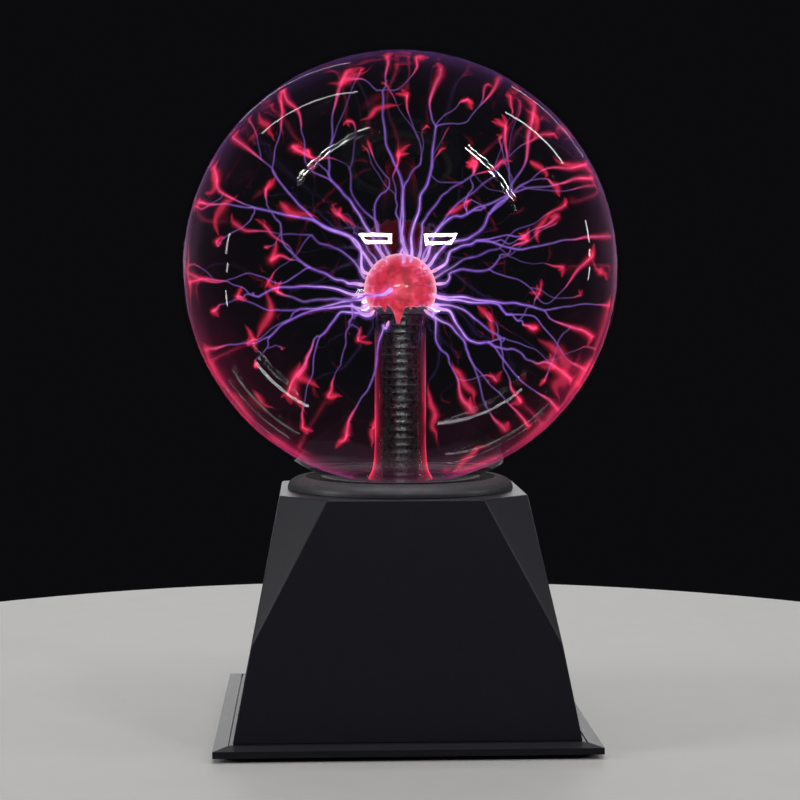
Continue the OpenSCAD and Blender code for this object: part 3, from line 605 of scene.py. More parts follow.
class Glow:
    """Collects swept tubes of light into one mesh."""

    def __init__(self):
        self.vertices, self.faces, self.colours, self.count = [], [], [], 0

    def tube(self, points, radii, colours, sides=6, gap=0.1 * MM):
        """Closed tube along the points, with a radius and a colour for each, pressed flat by the glass."""
        line = np.array([tuple(p) for p in points])
        ahead = np.gradient(line, axis=0)
        ahead /= np.linalg.norm(ahead, axis=1)[:, None] + 1e-12
        side = np.cross(ahead, (0.31, 0.52, 0.79))
        side /= np.linalg.norm(side, axis=1)[:, None] + 1e-12
        other = np.cross(ahead, side)
        turn = 2 * math.pi * np.arange(sides) / sides
        ring = side[:, None] * np.cos(turn)[None, :, None] + other[:, None] * np.sin(turn)[None, :, None]
        body = (line[:, None] + ring * np.array(radii)[:, None, None]).reshape(-1, 3) - np.array(GLOBE)
        body *= np.minimum(1, (GAS_R - gap) / np.linalg.norm(body, axis=1))[:, None]
        self.vertices.append(body + np.array(GLOBE))
        self.colours.append(np.repeat(np.array(colours), sides, axis=0))
        base, last = self.count, self.count + (len(line) - 1) * sides
        for a in range(base, last, sides):
            for k in range(sides):
                n = (k + 1) % sides
                self.faces.append((a + k, a + n, a + sides + n, a + sides + k))
        self.faces.append(tuple(base + k for k in range(sides))[::-1])
        self.faces.append(tuple(last + k for k in range(sides)))
        self.count = last + sides

    def finish(self, name, material):
        colours = np.concatenate(self.colours)
        piece = make_piece(name, np.concatenate(self.vertices), self.faces, material)
        layer = piece.data.color_attributes.new("glow", "FLOAT_COLOR", "POINT")
        layer.data.foreach_set("color", np.c_[colours, np.ones(len(colours))].astype(np.float32).ravel())
        piece.visible_shadow = False


# Colours of the discharge, from the electrode outwards, then those of a flame, from its heart outwards.
ROOT = np.array((1.05, 0.45, 0.70))
LILAC = np.array((0.80, 0.44, 0.95))
VIOLET = np.array((0.26, 0.112, 0.62))
FADED = np.array((0.13, 0.070, 0.24))
PINK = np.array((1.0, 0.045, 0.125))
CRIMSON = np.array((0.55, 0.012, 0.050))

# Places are laid out as a viewer half way round the table sees the ball: (to the right, up), in shares
# of the globe's radius, on its near or its far side.
VIEW, TURNED = 0.84, math.radians(-2.7)
RIGHT = Vector((math.cos(TURNED), math.sin(TURNED), 0))
FRONT = Vector((math.sin(TURNED), -math.cos(TURNED), 0))
NEAR, FAR = 1, -1

# Streamers. Each leaves the electrode at a bearing (degrees clockwise from up, share of its radius out),
# follows its trunk, then forks: every branch has bends, the place of its tip, the side and the flame's size.
STREAMERS = [
    ((5, 0.75), [(0.0, 0.28), (-0.05, 0.5), (-0.07, 0.7), (-0.08, 0.79)], [
        ([], (-0.06, 0.94), NEAR, 1.1), ([(0.01, 0.82)], (0.07, 0.93), NEAR, 1.1),
        ([(-0.15, 0.84)], (-0.24, 0.83), NEAR, 0.9)]),
    ((20, 0.8), [(0.08, 0.2), (0.12, 0.44), (0.16, 0.63)], [
        ([(0.14, 0.73)], (0.18, 0.88), NEAR, 1.4), ([(0.26, 0.7)], (0.3, 0.74), NEAR, 1.0),
        ([(0.28, 0.64), (0.4, 0.76)], (0.44, 0.84), NEAR, 1.1)]),
    ((10, 0.9), [(0.0, 0.27), (0.02, 0.38), (0.09, 0.48)], [
        ([(0.09, 0.57), (0.04, 0.68)], (0.03, 0.79), FAR, 1.2), ([(0.1, 0.62)], (0.12, 0.66), FAR, 0.5)]),
    ((-3, 0.9), [(-0.02, 0.26)], [
        ([(-0.02, 0.4)], (-0.01, 0.53), FAR, 1.2)]),
    ((28, 0.9), [(0.11, 0.22), (0.18, 0.34), (0.28, 0.4)], [
        ([(0.32, 0.44)], (0.34, 0.5), FAR, 1.3), ([(0.33, 0.42)], (0.46, 0.5), FAR, 1.0),
        ([(0.17, 0.44)], (0.18, 0.55), FAR, 0.7)]),
    ((38, 0.9), [(0.2, 0.19), (0.3, 0.24)], [
        ([(0.43, 0.3), (0.56, 0.35), (0.74, 0.39)], (0.87, 0.41), NEAR, 1.3),
        ([(0.31, 0.33)], (0.33, 0.44), NEAR, 1.0), ([(0.4, 0.27)], (0.3, 0.28), NEAR, 0.7)]),
    ((48, 0.85), [(0.2, 0.1), (0.34, 0.14), (0.4, 0.24)], [
        ([(0.49, 0.35), (0.56, 0.5)], (0.6, 0.72), NEAR, 1.5),
        ([(0.55, 0.38), (0.66, 0.45)], (0.83, 0.46), NEAR, 1.2),
        ([(0.5, 0.33), (0.63, 0.38)], (0.7, 0.36), NEAR, 1.1), ([(0.5, 0.37)], (0.47, 0.62), NEAR, 1.1)]),
    ((60, 0.95), [(0.24, 0.08), (0.34, 0.12)], [
        ([(0.53, 0.09), (0.67, 0.11), (0.83, 0.15)], (0.97, 0.15), NEAR, 1.2),
        ([(0.48, 0.1)], (0.56, 0.13), NEAR, 0.9), ([(0.62, 0.15)], (0.7, 0.22), NEAR, 1.2)]),
    ((80, 0.95), [(0.24, -0.02), (0.4, -0.01)], [
        ([(0.48, 0.04)], (0.57, 0.11), NEAR, 1.0),
        ([(0.43, -0.03), (0.56, -0.08), (0.65, -0.17), (0.78, -0.04)], (0.86, 0.05), NEAR, 1.2)]),
    ((97, 0.9), [(0.29, -0.11), (0.49, -0.16), (0.65, -0.19)], [
        ([(0.83, -0.17)], (0.97, -0.17), NEAR, 1.2), ([(0.74, -0.25)], (0.86, -0.31), NEAR, 1.4)]),
    ((100, 0.95), [(0.36, -0.14), (0.48, -0.21)], [
        ([], (0.61, -0.28), NEAR, 1.3), ([(0.61, -0.23), (0.76, -0.41)], (0.9, -0.49), NEAR, 1.2)]),
    ((118, 0.95), [(0.22, -0.19), (0.3, -0.31), (0.4, -0.33)], [
        ([(0.56, -0.4)], (0.69, -0.45), NEAR, 1.4),
        ([(0.52, -0.46), (0.62, -0.56)], (0.72, -0.64), NEAR, 1.3),
        ([(0.47, -0.3)], (0.39, -0.19), FAR, 1.2)]),
    ((125, 0.9), [(0.18, -0.3), (0.22, -0.43)], [
        ([(0.27, -0.54)], (0.33, -0.66), NEAR, 1.6)]),
    ((130, 0.85), [(0.21, -0.26), (0.3, -0.37)], [
        ([(0.36, -0.5), (0.4, -0.62)], (0.47, -0.73), NEAR, 1.4),
        ([(0.45, -0.58)], (0.57, -0.71), NEAR, 1.0)]),
    ((112, 0.8), [(0.3, -0.2), (0.45, -0.3)], [
        ([(0.5, -0.48)], (0.55, -0.6), FAR, 1.4), ([(0.62, -0.35)], (0.78, -0.5), FAR, 1.4)]),
    ((-128, 0.9), [(-0.27, -0.2), (-0.36, -0.31)], [
        ([(-0.4, -0.39)], (-0.46, -0.5), NEAR, 1.4), ([(-0.41, -0.54)], (-0.44, -0.72), NEAR, 1.1)]),
    ((-115, 0.95), [(-0.25, -0.17), (-0.45, -0.22), (-0.59, -0.31)], [
        ([(-0.79, -0.34)], (-0.92, -0.38), NEAR, 1.4), ([(-0.62, -0.38)], (-0.65, -0.45), NEAR, 0.7)]),
    ((-160, 0.9), [(-0.07, -0.27), (-0.11, -0.4), (-0.14, -0.54)], [
        ([(-0.21, -0.66)], (-0.25, -0.78), NEAR, 1.4)]),
    ((-122, 0.95), [(-0.22, -0.16)], [
        ([(-0.21, -0.25)], (-0.19, -0.34), NEAR, 1.0), ([(-0.26, -0.37)], (-0.33, -0.57), FAR, 1.4)]),
    ((-105, 0.95), [(-0.25, -0.16), (-0.45, -0.18)], [
        ([(-0.6, -0.19), (-0.74, -0.17)], (-0.84, -0.2), NEAR, 1.1),
        ([(-0.6, -0.28)], (-0.7, -0.33), FAR, 1.1)]),
    ((-95, 0.95), [(-0.33, -0.08), (-0.52, -0.08), (-0.64, -0.13)], [
        ([], (-0.73, -0.14), NEAR, 1.1), ([(-0.8, -0.06)], (-0.96, -0.06), NEAR, 1.2)]),
    ((-82, 0.95), [(-0.3, -0.03), (-0.41, 0.0)], [
        ([(-0.52, 0.1), (-0.56, 0.18), (-0.62, 0.26)], (-0.6, 0.34), NEAR, 1.0),
        ([], (-0.58, 0.02), NEAR, 1.4),
        ([(-0.55, -0.06), (-0.68, -0.02), (-0.82, -0.06)], (-0.96, -0.02), NEAR, 1.0)]),
    ((-62, 0.95), [(-0.22, 0.13), (-0.42, 0.22), (-0.65, 0.27)], [
        ([(-0.82, 0.3)], (-0.94, 0.31), NEAR, 1.3), ([(-0.8, 0.35)], (-0.86, 0.47), NEAR, 1.5),
        ([(-0.7, 0.18), (-0.8, 0.13)], (-0.82, 0.11), NEAR, 1.1)]),
    ((-50, 0.9), [(-0.24, 0.15), (-0.42, 0.24), (-0.55, 0.4)], [
        ([(-0.66, 0.51)], (-0.78, 0.61), NEAR, 1.5),
        ([(-0.57, 0.46), (-0.55, 0.6)], (-0.54, 0.8), NEAR, 1.2)]),
    ((-40, 0.9), [(-0.2, 0.17)], [
        ([(-0.21, 0.2)], (-0.28, 0.26), FAR, 1.2)]),
    ((-26, 0.85), [(-0.16, 0.23), (-0.25, 0.34), (-0.31, 0.39)], [
        ([(-0.32, 0.52), (-0.29, 0.73)], (-0.24, 0.86), NEAR, 1.2),
        ([(-0.4, 0.47), (-0.44, 0.6), (-0.48, 0.72)], (-0.53, 0.81), NEAR, 1.4),
        ([(-0.38, 0.46)], (-0.48, 0.53), NEAR, 1.3)]),
    ((-18, 0.9), [(-0.13, 0.23), (-0.22, 0.36), (-0.23, 0.46)], [
        ([(-0.2, 0.58), (-0.21, 0.65)], (-0.24, 0.68), FAR, 0.8),
        ([(-0.28, 0.5), (-0.37, 0.5)], (-0.42, 0.55), FAR, 1.2)]),
    ((-30, 0.7), [(-0.1, 0.24), (-0.05, 0.38)], [
        ([(-0.08, 0.45)], (-0.14, 0.57), FAR, 0.7)]),
    ((-70, 0.9), [(-0.25, 0.08), (-0.4, 0.16)], [
        ([(-0.6, 0.16)], (-0.76, 0.22), FAR, 1.1), ([(-0.5, 0.05)], (-0.6, -0.04), FAR, 1.0)]),
    ((70, 0.9), [(0.28, 0.03), (0.45, 0.1)], [
        ([(0.6, 0.2)], (0.75, 0.3), FAR, 1.1), ([(0.6, 0.02)], (0.74, 0.02), FAR, 1.0)]),
    ((-92, 0.25), [(-0.1, -0.122), (-0.16, -0.132), (-0.25, -0.152)], [
        ([(-0.42, -0.14)], (-0.55, -0.12), NEAR, 0.9)]),
    ((42, 0.7), [(0.22, 0.26), (0.42, 0.42)], [
        ([(0.52, 0.55)], (0.7, 0.62), FAR, 1.2), ([(0.45, 0.6)], (0.5, 0.78), FAR, 1.2)]),
]

# Arms of soft pink light that lie along the glass: three places, the side and the size.
ARMS = [
    ((-0.33, 0.81), (-0.23, 0.88), (-0.11, 0.91), NEAR, 1.2),
    ((-0.19, 0.68), (-0.08, 0.74), (0.03, 0.77), FAR, 1.1),
    ((-0.85, 0.56), (-0.87, 0.43), (-0.84, 0.28), NEAR, 1.0),
    ((-0.72, 0.32), (-0.8, 0.25), (-0.82, 0.12), NEAR, 1.3),
    ((-0.54, 0.78), (-0.53, 0.66), (-0.52, 0.54), NEAR, 0.7),
    ((-0.63, 0.7), (-0.58, 0.58), (-0.52, 0.54), NEAR, 1.1),
    ((-0.61, -0.1), (-0.61, -0.24), (-0.64, -0.35), NEAR, 1.2),
    ((-0.7, -0.26), (-0.66, -0.34), (-0.62, -0.38), NEAR, 0.8),
    ((-0.45, -0.43), (-0.47, -0.55), (-0.41, -0.68), NEAR, 1.5),
    ((-0.68, -0.54), (-0.62, -0.6), (-0.56, -0.64), FAR, 1.1),
    ((0.23, -0.43), (0.29, -0.57), (0.35, -0.66), NEAR, 1.1),
    ((0.39, -0.18), (0.42, -0.26), (0.42, -0.33), FAR, 1.0),
    ((0.57, -0.42), (0.7, -0.47), (0.73, -0.64), NEAR, 1.9),
    ((0.62, -0.3), (0.75, -0.42), (0.82, -0.6), FAR, 2.2),
    ((0.98, -0.1), (0.97, -0.25), (0.9, -0.42), NEAR, 1.7),
    ((0.91, -0.36), (0.86, -0.5), (0.76, -0.64), NEAR, 2.0),
    ((0.8, -0.6), (0.65, -0.74), (0.45, -0.86), NEAR, 2.0),
    ((0.5, -0.85), (0.36, -0.91), (0.22, -0.95), NEAR, 1.5),
    ((-0.94, -0.34), (-0.87, -0.48), (-0.82, -0.57), NEAR, 1.5),
    ((-0.62, -0.75), (-0.5, -0.82), (-0.38, -0.9), NEAR, 1.8),
    ((-0.84, -0.52), (-0.74, -0.64), (-0.62, -0.75), NEAR, 1.6),
    ((-0.9, -0.38), (-0.84, -0.5), (-0.76, -0.62), FAR, 1.6),
    ((0.9, -0.38), (0.84, -0.52), (0.7, -0.7), FAR, 1.8),
    ((0.42, -0.8), (0.32, -0.88), (0.24, -0.93), FAR, 1.2),
    ((-0.12, -0.6), (-0.13, -0.72), (-0.12, -0.82), FAR, 1.0),
    ((0.13, -0.5), (0.14, -0.66), (0.17, -0.8), FAR, 1.2),
    ((0.58, 0.46), (0.65, 0.4), (0.63, 0.36), NEAR, 0.8),
    ((0.68, 0.5), (0.8, 0.45), (0.87, 0.39), NEAR, 1.1),
    ((0.84, 0.08), (0.88, 0.0), (0.96, -0.03), NEAR, 0.9),
    ((0.62, 0.09), (0.63, 0.18), (0.71, 0.23), NEAR, 0.9),
    ((0.19, 0.21), (0.27, 0.27), (0.31, 0.3), NEAR, 0.8),
    ((-0.31, 0.28), (-0.25, 0.24), (-0.21, 0.19), FAR, 0.8),
    ((-0.54, 0.29), (-0.46, 0.23), (-0.34, 0.18), NEAR, 1.2),
    ((-0.98, 0.12), (-0.98, -0.06), (-0.96, -0.2), NEAR, 0.8),
    ((0.55, 0.72), (0.6, 0.62), (0.56, 0.52), NEAR, 0.9),
    ((0.7, 0.66), (0.74, 0.6), (0.72, 0.55), NEAR, 0.8),
]

PLASMA_SEED = 7

# Radius of a flame of size 1, and its shells, outside in: share of the radius and how bright.
FLAME_R = 2.45 * MM
FLAME_LAYERS = ((1.25, 0.008), (1.02, 0.020), (0.82, 0.042), (0.62, 0.080), (0.44, 0.115), (0.27, 0.15))


def seen(right, up, depth):
    """Point that shows at a place on the ball, at a depth towards the viewer from its middle."""
    scale = GLOBE_R * (VIEW - depth) / math.sqrt(VIEW ** 2 - GLOBE_R ** 2)
    return GLOBE + RIGHT * (right * scale) + Vector((0, 0, up * scale)) + FRONT * depth


def on_glass(right, up, side, gap=1.2 * MM):
    """Point just inside the glass that shows at a place."""
    depth = 0.0
    for _ in range(5):
        off_axis = (seen(right, up, depth) - FRONT * depth - GLOBE).length
        depth = side * math.sqrt(max(0.0, (GAS_R - gap) ** 2 - off_axis ** 2))
    return inside(seen(right, up, depth))


def inside(point):
    """The point, pulled back under the glass if it lies beyond."""
    offset = point - GLOBE
    return GLOBE + offset * min(1.0, (GAS_R - 0.5 * MM) / offset.length)


def spline(places, count, before=None):
    """Evenly sampled smooth curve through the places. A place before the first one sets how it starts."""
    line = [places[0] * 2 - places[1] if before is None else before] + places + [places[-1] * 2 - places[-2]]
    points = []
    for a, b, c, d in zip(line, line[1:], line[2:], line[3:]):
        for i in range(12):
            t = i / 12
            points.append(0.5 * (2 * b + (c - a) * t + (2 * a - 5 * b + 4 * c - d) * t * t
                                 + (3 * b - 3 * c + d - a) * t ** 3))
    return resample(points + [places[-1]], count)


def wander(points, seed, wide, fine):
    """Displaces a way by slow bends and small kinks that vanish at both ends."""
    shift = Vector((seed * 3.7, seed * 1.3, seed * 5.1))
    moved = []
    for i, p in enumerate(points):
        t = i / (len(points) - 1)
        hold = min(1.0, 6 * t) * min(1.0, 6 * (1 - t))
        slow = noise.noise_vector(p / (26 * MM) + shift)
        quick = noise.noise_vector(p / (9 * MM) + shift * 2)
        moved.append(inside(p + (slow * wide + quick * fine) * hold))
    return moved


def between(a, b, t):
    return a + (b - a) * min(1.0, max(0.0, t))


class Plasma:
    """Draws streamers: a bright core, a soft halo round it, and pink flames where they meet the glass."""

    def __init__(self, seed):
        self.dice = random.Random(seed)
        self.core, self.halo, self.arms, self.flames = Glow(), Glow(), Glow(), {NEAR: Glow(), FAR: Glow()}

    def filament(self, points, t_from, t_to, width, strength):
        """Lilac-white at the electrode, violet on the way, grey and thin near the glass."""
        core_r, colours, soft = [], [], []
        for i in range(len(points)):
            t = t_from + (t_to - t_from) * i / (len(points) - 1)
            root = (1 + 1.7 * math.exp(-t / 0.07)) * min(1.0, 0.35 + t / 0.03)
            core_r.append(width * (1.0 - 0.62 * t) * root)
            colour = between(between(LILAC, VIOLET, t / 0.36), FADED, (t - 0.40) / 0.40)
            colours.append(between(ROOT, colour, t / 0.05) * strength)
            soft.append(between(VIOLET, FADED, t) * 0.085 * strength * min(1.0, t / 0.04))
        self.core.tube(points, core_r, colours)
        for reach in (1.9, 3.0):
            self.halo.tube(points, [r * reach + 0.14 * MM for r in core_r], soft, sides=5)

    def flame(self, points, size, glow, strength, swell=None):
        """Soft pink light along a line: a thin tail that swells towards the glass and tapers off on it."""
        count = len(points)
        for number, (layer, light) in enumerate(FLAME_LAYERS):
            radii, colours = [], []
            for i in range(count):
                u = i / (count - 1)
                wide = 0.12 + 0.88 * min(1.0, u / 0.76) ** 1.7 if swell is None else swell(u)
                close = 1 - (max(0.0, u - 0.66) / 0.34) ** 2.2
                radii.append(max(0.02 * MM, FLAME_R * size * layer * wide * close))
                bright = min(1.0, 4 * u) * (1 - 0.45 * u ** 2) * strength * light
                colours.append(between(PINK, CRIMSON, 0.7 * u + 0.8 * (layer - 0.5)) * bright)
            glow.tube(points, radii, colours, gap=(0.1 + 0.05 * number) * MM)

    def tip(self, branch, size, side, strength):
        """The flame at the end of a branch, often with one or two prongs beside it."""
        dice = self.dice
        tail_length = dice.uniform(8, 22) * MM * size
        tail, gone = [branch[-1]], 0.0
        for p in reversed(branch[:-1]):
            gone += (p - tail[0]).length
            tail.insert(0, p)
            if gone > tail_length:
                break
        outward = (branch[-1] - GLOBE).normalized()
        along = (branch[-1] - tail[0]).normalized() + Vector((0, 0, dice.uniform(-0.05, 0.25)))
        along -= outward * along.dot(outward)
        along = along.normalized() if along.length > 0.05 else outward.orthogonal().normalized()
        facing = abs(outward.y)
        for k in range(dice.choice((1, 2, 2, 3))):
            swing = (0, 1, -1)[k] * dice.uniform(0.5, 1.1)
            curl = dice.uniform(-0.16, 0.16)
            run = dice.uniform(2.0, 4.5) * MM * size * (1 + facing) * (1.0 if k == 0 else 0.9)
            start = 0 if k == 0 else int(len(tail) * 0.6)
            points = tail[start:-1] + [branch[-1]]
            for i in range(7):
                turned = swing + curl * i
                heading = along * math.cos(turned) + outward.cross(along) * math.sin(turned)
                points.append(inside(points[-1] + heading * run / 7))
            self.flame(resample(points, 14), size * (1.0 if k == 0 else 0.6), self.flames[side], strength)

    def twig(self, branch, place, size, lean, side, strength):
        """Thin side branch with a small flame of its own."""
        at = int(place * (len(branch) - 2)) + 1
        spot = (branch[-1] - GLOBE).normalized() + Vector(lean)
        goal = GLOBE + spot.normalized() * (GAS_R - 1.5 * MM)
        bend = branch[at].lerp(goal, 0.5) + Vector(lean) * 12 * MM
        curve = spline([branch[at], inside(bend), goal], 26, branch[at - 1])
        points = wander(curve, at + 0.37, 3 * MM, 1.2 * MM)
        self.filament(points, 0.75, 1.0, 0.26 * MM, strength)
        self.tip(points, size, side, strength)

    def streamer(self, number, root, trunk_places, branches):
        """One entry of STREAMERS. Thin twigs are added at random."""
        dice = self.dice
        sides = sum(branch[2] for branch in branches)
        start = ELECTRODE + toward(*root, sides) * (COAT_R - 0.1 * MM)
        tips = [on_glass(*place, side) for _, place, side, _ in branches]
        mean = sum((tip - GLOBE).dot(FRONT) for tip in tips) / len(tips)
        begin = (start - GLOBE).dot(FRONT)
        trunk = [start, start + (start - ELECTRODE).normalized() * 4 * MM]
        for i, place in enumerate(trunk_places):
            share = 0.8 * (i + 1) / (len(trunk_places) + 0.6)
            trunk.append(inside(seen(*place, begin + (mean - begin) * share)))
        curve = wander(spline(trunk, 44), number + 1, 3.5 * MM, 1.3 * MM)
        length = sum((b - a).length for a, b in zip(curve, curve[1:]))
        full = length + sum((tip - curve[-1]).length for tip in tips) / len(tips)
        fork = length / full
        strength = dice.uniform(0.85, 1.1) if sides > 0 else dice.uniform(0.45, 0.8)
        width = (0.27 + 0.045 * len(branches)) * (1.8 if root[1] < 0.3 else 1.0) * MM
        self.filament(curve, 0, fork, width, strength)
        for index, (bends, place, side, size) in enumerate(branches):
            depth, end = (curve[-1] - GLOBE).dot(FRONT), (tips[index] - GLOBE).dot(FRONT)
            way = [curve[-1]]
            for i, bend in enumerate(bends):
                way.append(inside(seen(*bend, depth + (end - depth) * (i + 1) / (len(bends) + 1))))
            branch = spline(way + [tips[index]], 40, curve[-6])
            branch = wander(branch, 40 + 3 * number + index, 3.5 * MM, 1.5 * MM)
            weight = 1.0 if index == 0 else dice.uniform(0.6, 0.9)
            self.filament(branch, fork, 1.0, width * weight * 0.85, strength * (0.7 + 0.3 * weight))
            self.tip(branch, size, side, 0.75 + 0.35 * strength)
            if dice.random() < 0.4:
                lean = [dice.uniform(-0.24, 0.24) for _ in range(3)]
                self.twig(branch, dice.uniform(0.3, 0.7), size * dice.uniform(0.45, 0.75), lean, side,
                          0.7 * strength)

    def knot(self, bearing, size):
        """White-hot spot at the edge of the electrode where several roots meet."""
        out = toward(bearing, 1.0, NEAR)
        start = ELECTRODE + out * (COAT_R - 0.6 * MM)
        points = [start + out * (size * 2.2 * i / 8) for i in range(9)]
        shape = [math.sin(math.pi * (0.12 + 0.84 * i / 8)) for i in range(9)]
        self.core.tube(points, [0.62 * size * w for w in shape], [np.array((1.6, 1.3, 1.6))] * 9, sides=10)
        for reach in (1.3, 1.8, 2.4):
            self.halo.tube(points, [0.62 * size * w * reach for w in shape], [LILAC * 0.13] * 9, sides=10)

    def arm(self, number, first, second, third, side, size):
        """Broad, dim flame that creeps along the glass."""
        places = [on_glass(*place, side, 1.8 * MM) for place in (first, second, third)]
        points = wander(spline(places, 20), 200 + number, 4 * MM, 2.2 * MM)
        self.flame(points, size, self.arms, 0.60 + 0.25 / size,
                   lambda u: math.sin(math.pi * min(1.0, 0.06 + u)) ** 1.3)


def toward(bearing, out, side):
    """Unit vector of a place seen from the front."""
    b = math.radians(bearing)
    depth = math.sqrt(max(0.0, 1 - out * out)) * (1 if side > 0 else -1)
    return RIGHT * (out * math.sin(b)) + Vector((0, 0, out * math.cos(b))) + FRONT * depth


def resample(points, count):
    """Evenly spaced points along a polyline."""
    table = np.array([tuple(p) for p in points])
    steps = np.linalg.norm(np.diff(table, axis=0), axis=1)
    table = table[np.r_[True, steps > 1e-7]]
    length = np.r_[0, np.cumsum(np.linalg.norm(np.diff(table, axis=0), axis=1))]
    at = np.linspace(0, length[-1], count)
    return [Vector([float(np.interp(s, length, table[:, k])) for k in range(3)]) for s in at]


def make_plasma():
    """Draw the discharge. The noise of its bends is seeded, because it would start from the clock."""
    noise.seed_set(PLASMA_SEED)
    plasma = Plasma(PLASMA_SEED)
    for number, (root, trunk, branches) in enumerate(STREAMERS):
        plasma.streamer(number, root, trunk, branches)
    for number, arm in enumerate(ARMS):
        plasma.arm(number, *arm)
    for bearing, size in ((-117, 1.9 * MM), (-108, 1.2 * MM), (118, 2.1 * MM)):
        plasma.knot(bearing, size)
    plasma.core.finish("plasma_filaments", glow_material("plasma_core", True))
    plasma.halo.finish("plasma_halo", glow_material("plasma_soft", False))
    flame = glow_material("plasma_flame", False)
    plasma.flames[NEAR].finish("plasma_flames_near", flame)
    plasma.flames[FAR].finish("plasma_flames_far", flame)
    plasma.arms.finish("plasma_arms", flame)


make_plasma()

# ---- Haze on the glass ----


def by_height(tree, low_z, high_z):
    """Factor that is 0 at one height and 1 at another."""
    split = add_node(tree, "SeparateXYZ", Vector=object_place(tree))
    node = add_node(tree, "MapRange", Value=split.outputs["Z"], From_Min=low_z, From_Max=high_z)
    return node.outputs["Result"]


def haze_material(name, low_z, high_z, stops, steepness, patch, reach):
    """Faint glow that lies on the glass like a sheen: strongest at the edge, patchy, coloured by height."""
    material, tree, output = blank_material(name)
    facing = add_node(tree, "LayerWeight", Blend=0.5).outputs["Facing"]
    steep = combined(tree, "Math", facing, steepness, "Value", operation="POWER")
    patchy = spread(tree, noise_value(tree, patch, 3.0), *reach)
    level = combined(tree, "Math", patchy, 0.0, "Value", operation="MAXIMUM")
    light = add_node(tree, "Emission", Color=ramp(tree, by_height(tree, low_z, high_z), stops),
                     Strength=combined(tree, "Math", steep, level, "Value", operation="MULTIPLY"))
    finish_glow(material, tree, output, light)
    return material


def make_haze():
    """Two thin layers of glow: a narrow band at the edge of the ball and a wide veil low down."""
    band = haze_material("haze_band", GLOBE.z - GLOBE_R, GLOBE.z + GLOBE_R, [
        (0.03, (0.05, 0.008, 0.050)), (0.12, (0.19, 0.009, 0.040)), (0.28, (0.19, 0.011, 0.040)),
        (0.40, (0.08, 0.018, 0.040)), (0.52, (0.10, 0.050, 0.085)), (0.75, (0.036, 0.014, 0.050)),
        (1.0, (0.024, 0.010, 0.046))], 7.5, 0.030, (0.1, 1.7))
    veil = haze_material("haze_veil", GLOBE.z - GLOBE_R, GLOBE.z + GLOBE_R, [
        (0.0, (0.012, 0.001, 0.006)), (0.25, (0.026, 0.001, 0.007)), (0.42, (0.008, 0.001, 0.004)),
        (1.0, (0.003, 0.001, 0.004))], 2.6, 0.034, (-0.7, 2.0))
    for name, material, radius in (("haze_band", band, GAS_R), ("haze_veil", veil, GAS_R - 0.3 * MM)):
        outer = sphere_profile(radius, NECK_R, 90)
        inner = sphere_profile(radius - 0.1 * MM, NECK_R, 90)
        piece = lathe(name, outer + inner[::-1], material, 160, sharp=0)
        piece.visible_shadow = False


def make_stem_glow_and_reflection():
    """Glow that clings to the stem and flares at its foot. Its bright pink edges are a painted reflection:
    the plasma's light that the stem's glass bends and mirrors at its outline is painted as glow on a skin
    round the stem.
    """
    low = GLOBE.z - GLOBE_R + 4 * MM
    material = haze_material("stem_glow_and_reflection", low, SHOULDER[0], [
        (0.0, (0.95, 0.022, 0.085)), (0.35, (0.60, 0.018, 0.065)), (0.65, (0.26, 0.020, 0.050)),
        (0.95, (0.05, 0.010, 0.030)), (1.0, (0.0, 0.0, 0.0))], 4.0, 0.018, (0.2, 1.5))
    r = STEM_R + 0.25 * MM
    outer = [(r + 3.2 * MM, low), (r + 1.2 * MM, low + 4 * MM), (r + 0.4 * MM, low + 9 * MM),
             (r, low + 16 * MM), (r, SHOULDER[0])]
    profile = outer + [(x - 0.1 * MM, z) for x, z in outer[::-1]]
    piece = lathe("stem_glow_and_reflection", profile, material, 96, sharp=0)
    piece.visible_shadow = False


make_haze()
make_stem_glow_and_reflection()

# ---- Stage: pale floor, dark room, soft lights ----


def make_floor():
    mesh = bmesh.new()
    bmesh.ops.create_circle(mesh, cap_ends=True, radius=0.42, segments=160)
    matte = surface("floor_matte", (0.66, 0.65, 0.64), 0.6, tone=0.012, tone_size=0.02, grain=0.05,
                    grain_size=0.003, rough_spread=0.02)
    floor = new_object("floor", to_data(mesh, "floor", matte))
    floor.visible_glossy = False
    floor.visible_transmission = False


make_floor()

world = bpy.data.worlds.new("dim_room")
world.use_nodes = True
world.node_tree.nodes["Background"].inputs["Color"].default_value = (0.0035, 0.0035, 0.0045, 1)
bpy.context.scene.world = world

WINDOW_DISTANCE = 1.5


def aim(thing, target):
    thing.rotation_euler = (Vector(target) - thing.location).to_track_quat("-Z", "Y").to_euler()


def soft_light(name, place, width, height, energy, spare):
    """Area light. The pieces to spare, such as the glass, neither catch nor mirror it."""
    data = bpy.data.lights.new(name, "AREA")
    data.shape = "RECTANGLE"
    data.size, data.size_y, data.energy = width, height, energy
    lamp = new_object(name, data)
    lamp.location = place
    aim(lamp, (0, 0, 0.1))
    lamp.visible_camera = False
    link_light(lamp, spare, "EXCLUDE")


def link_light(source, pieces, state):
    """Let a light reach only these pieces (INCLUDE), or all but these (EXCLUDE)."""
    chosen = bpy.data.collections.new(source.name + "_receivers")
    for piece in pieces:
        chosen.objects.link(piece)
    for entry in chosen.collection_objects:
        entry.light_linking.link_state = state
    source.light_linking.receiver_collection = chosen


def card_panes(width, height, bar, cut_left=0.0, cut_right=0.0):
    """Bars of a lit outline, or one full pane without bar. A cut moves a lower corner in, as a share."""
    def corners(w, h):
        return [(-w * (1 - 2 * cut_left), -h), (w * (1 - 2 * cut_right), -h), (w, h), (-w, h)]
    outer = corners(width / 2, height / 2)
    if not bar:
        return [outer]
    inner = corners(width / 2 - bar, height / 2 - bar)
    return [(outer[k - 1], outer[k], inner[k], inner[k - 1]) for k in range(4)]


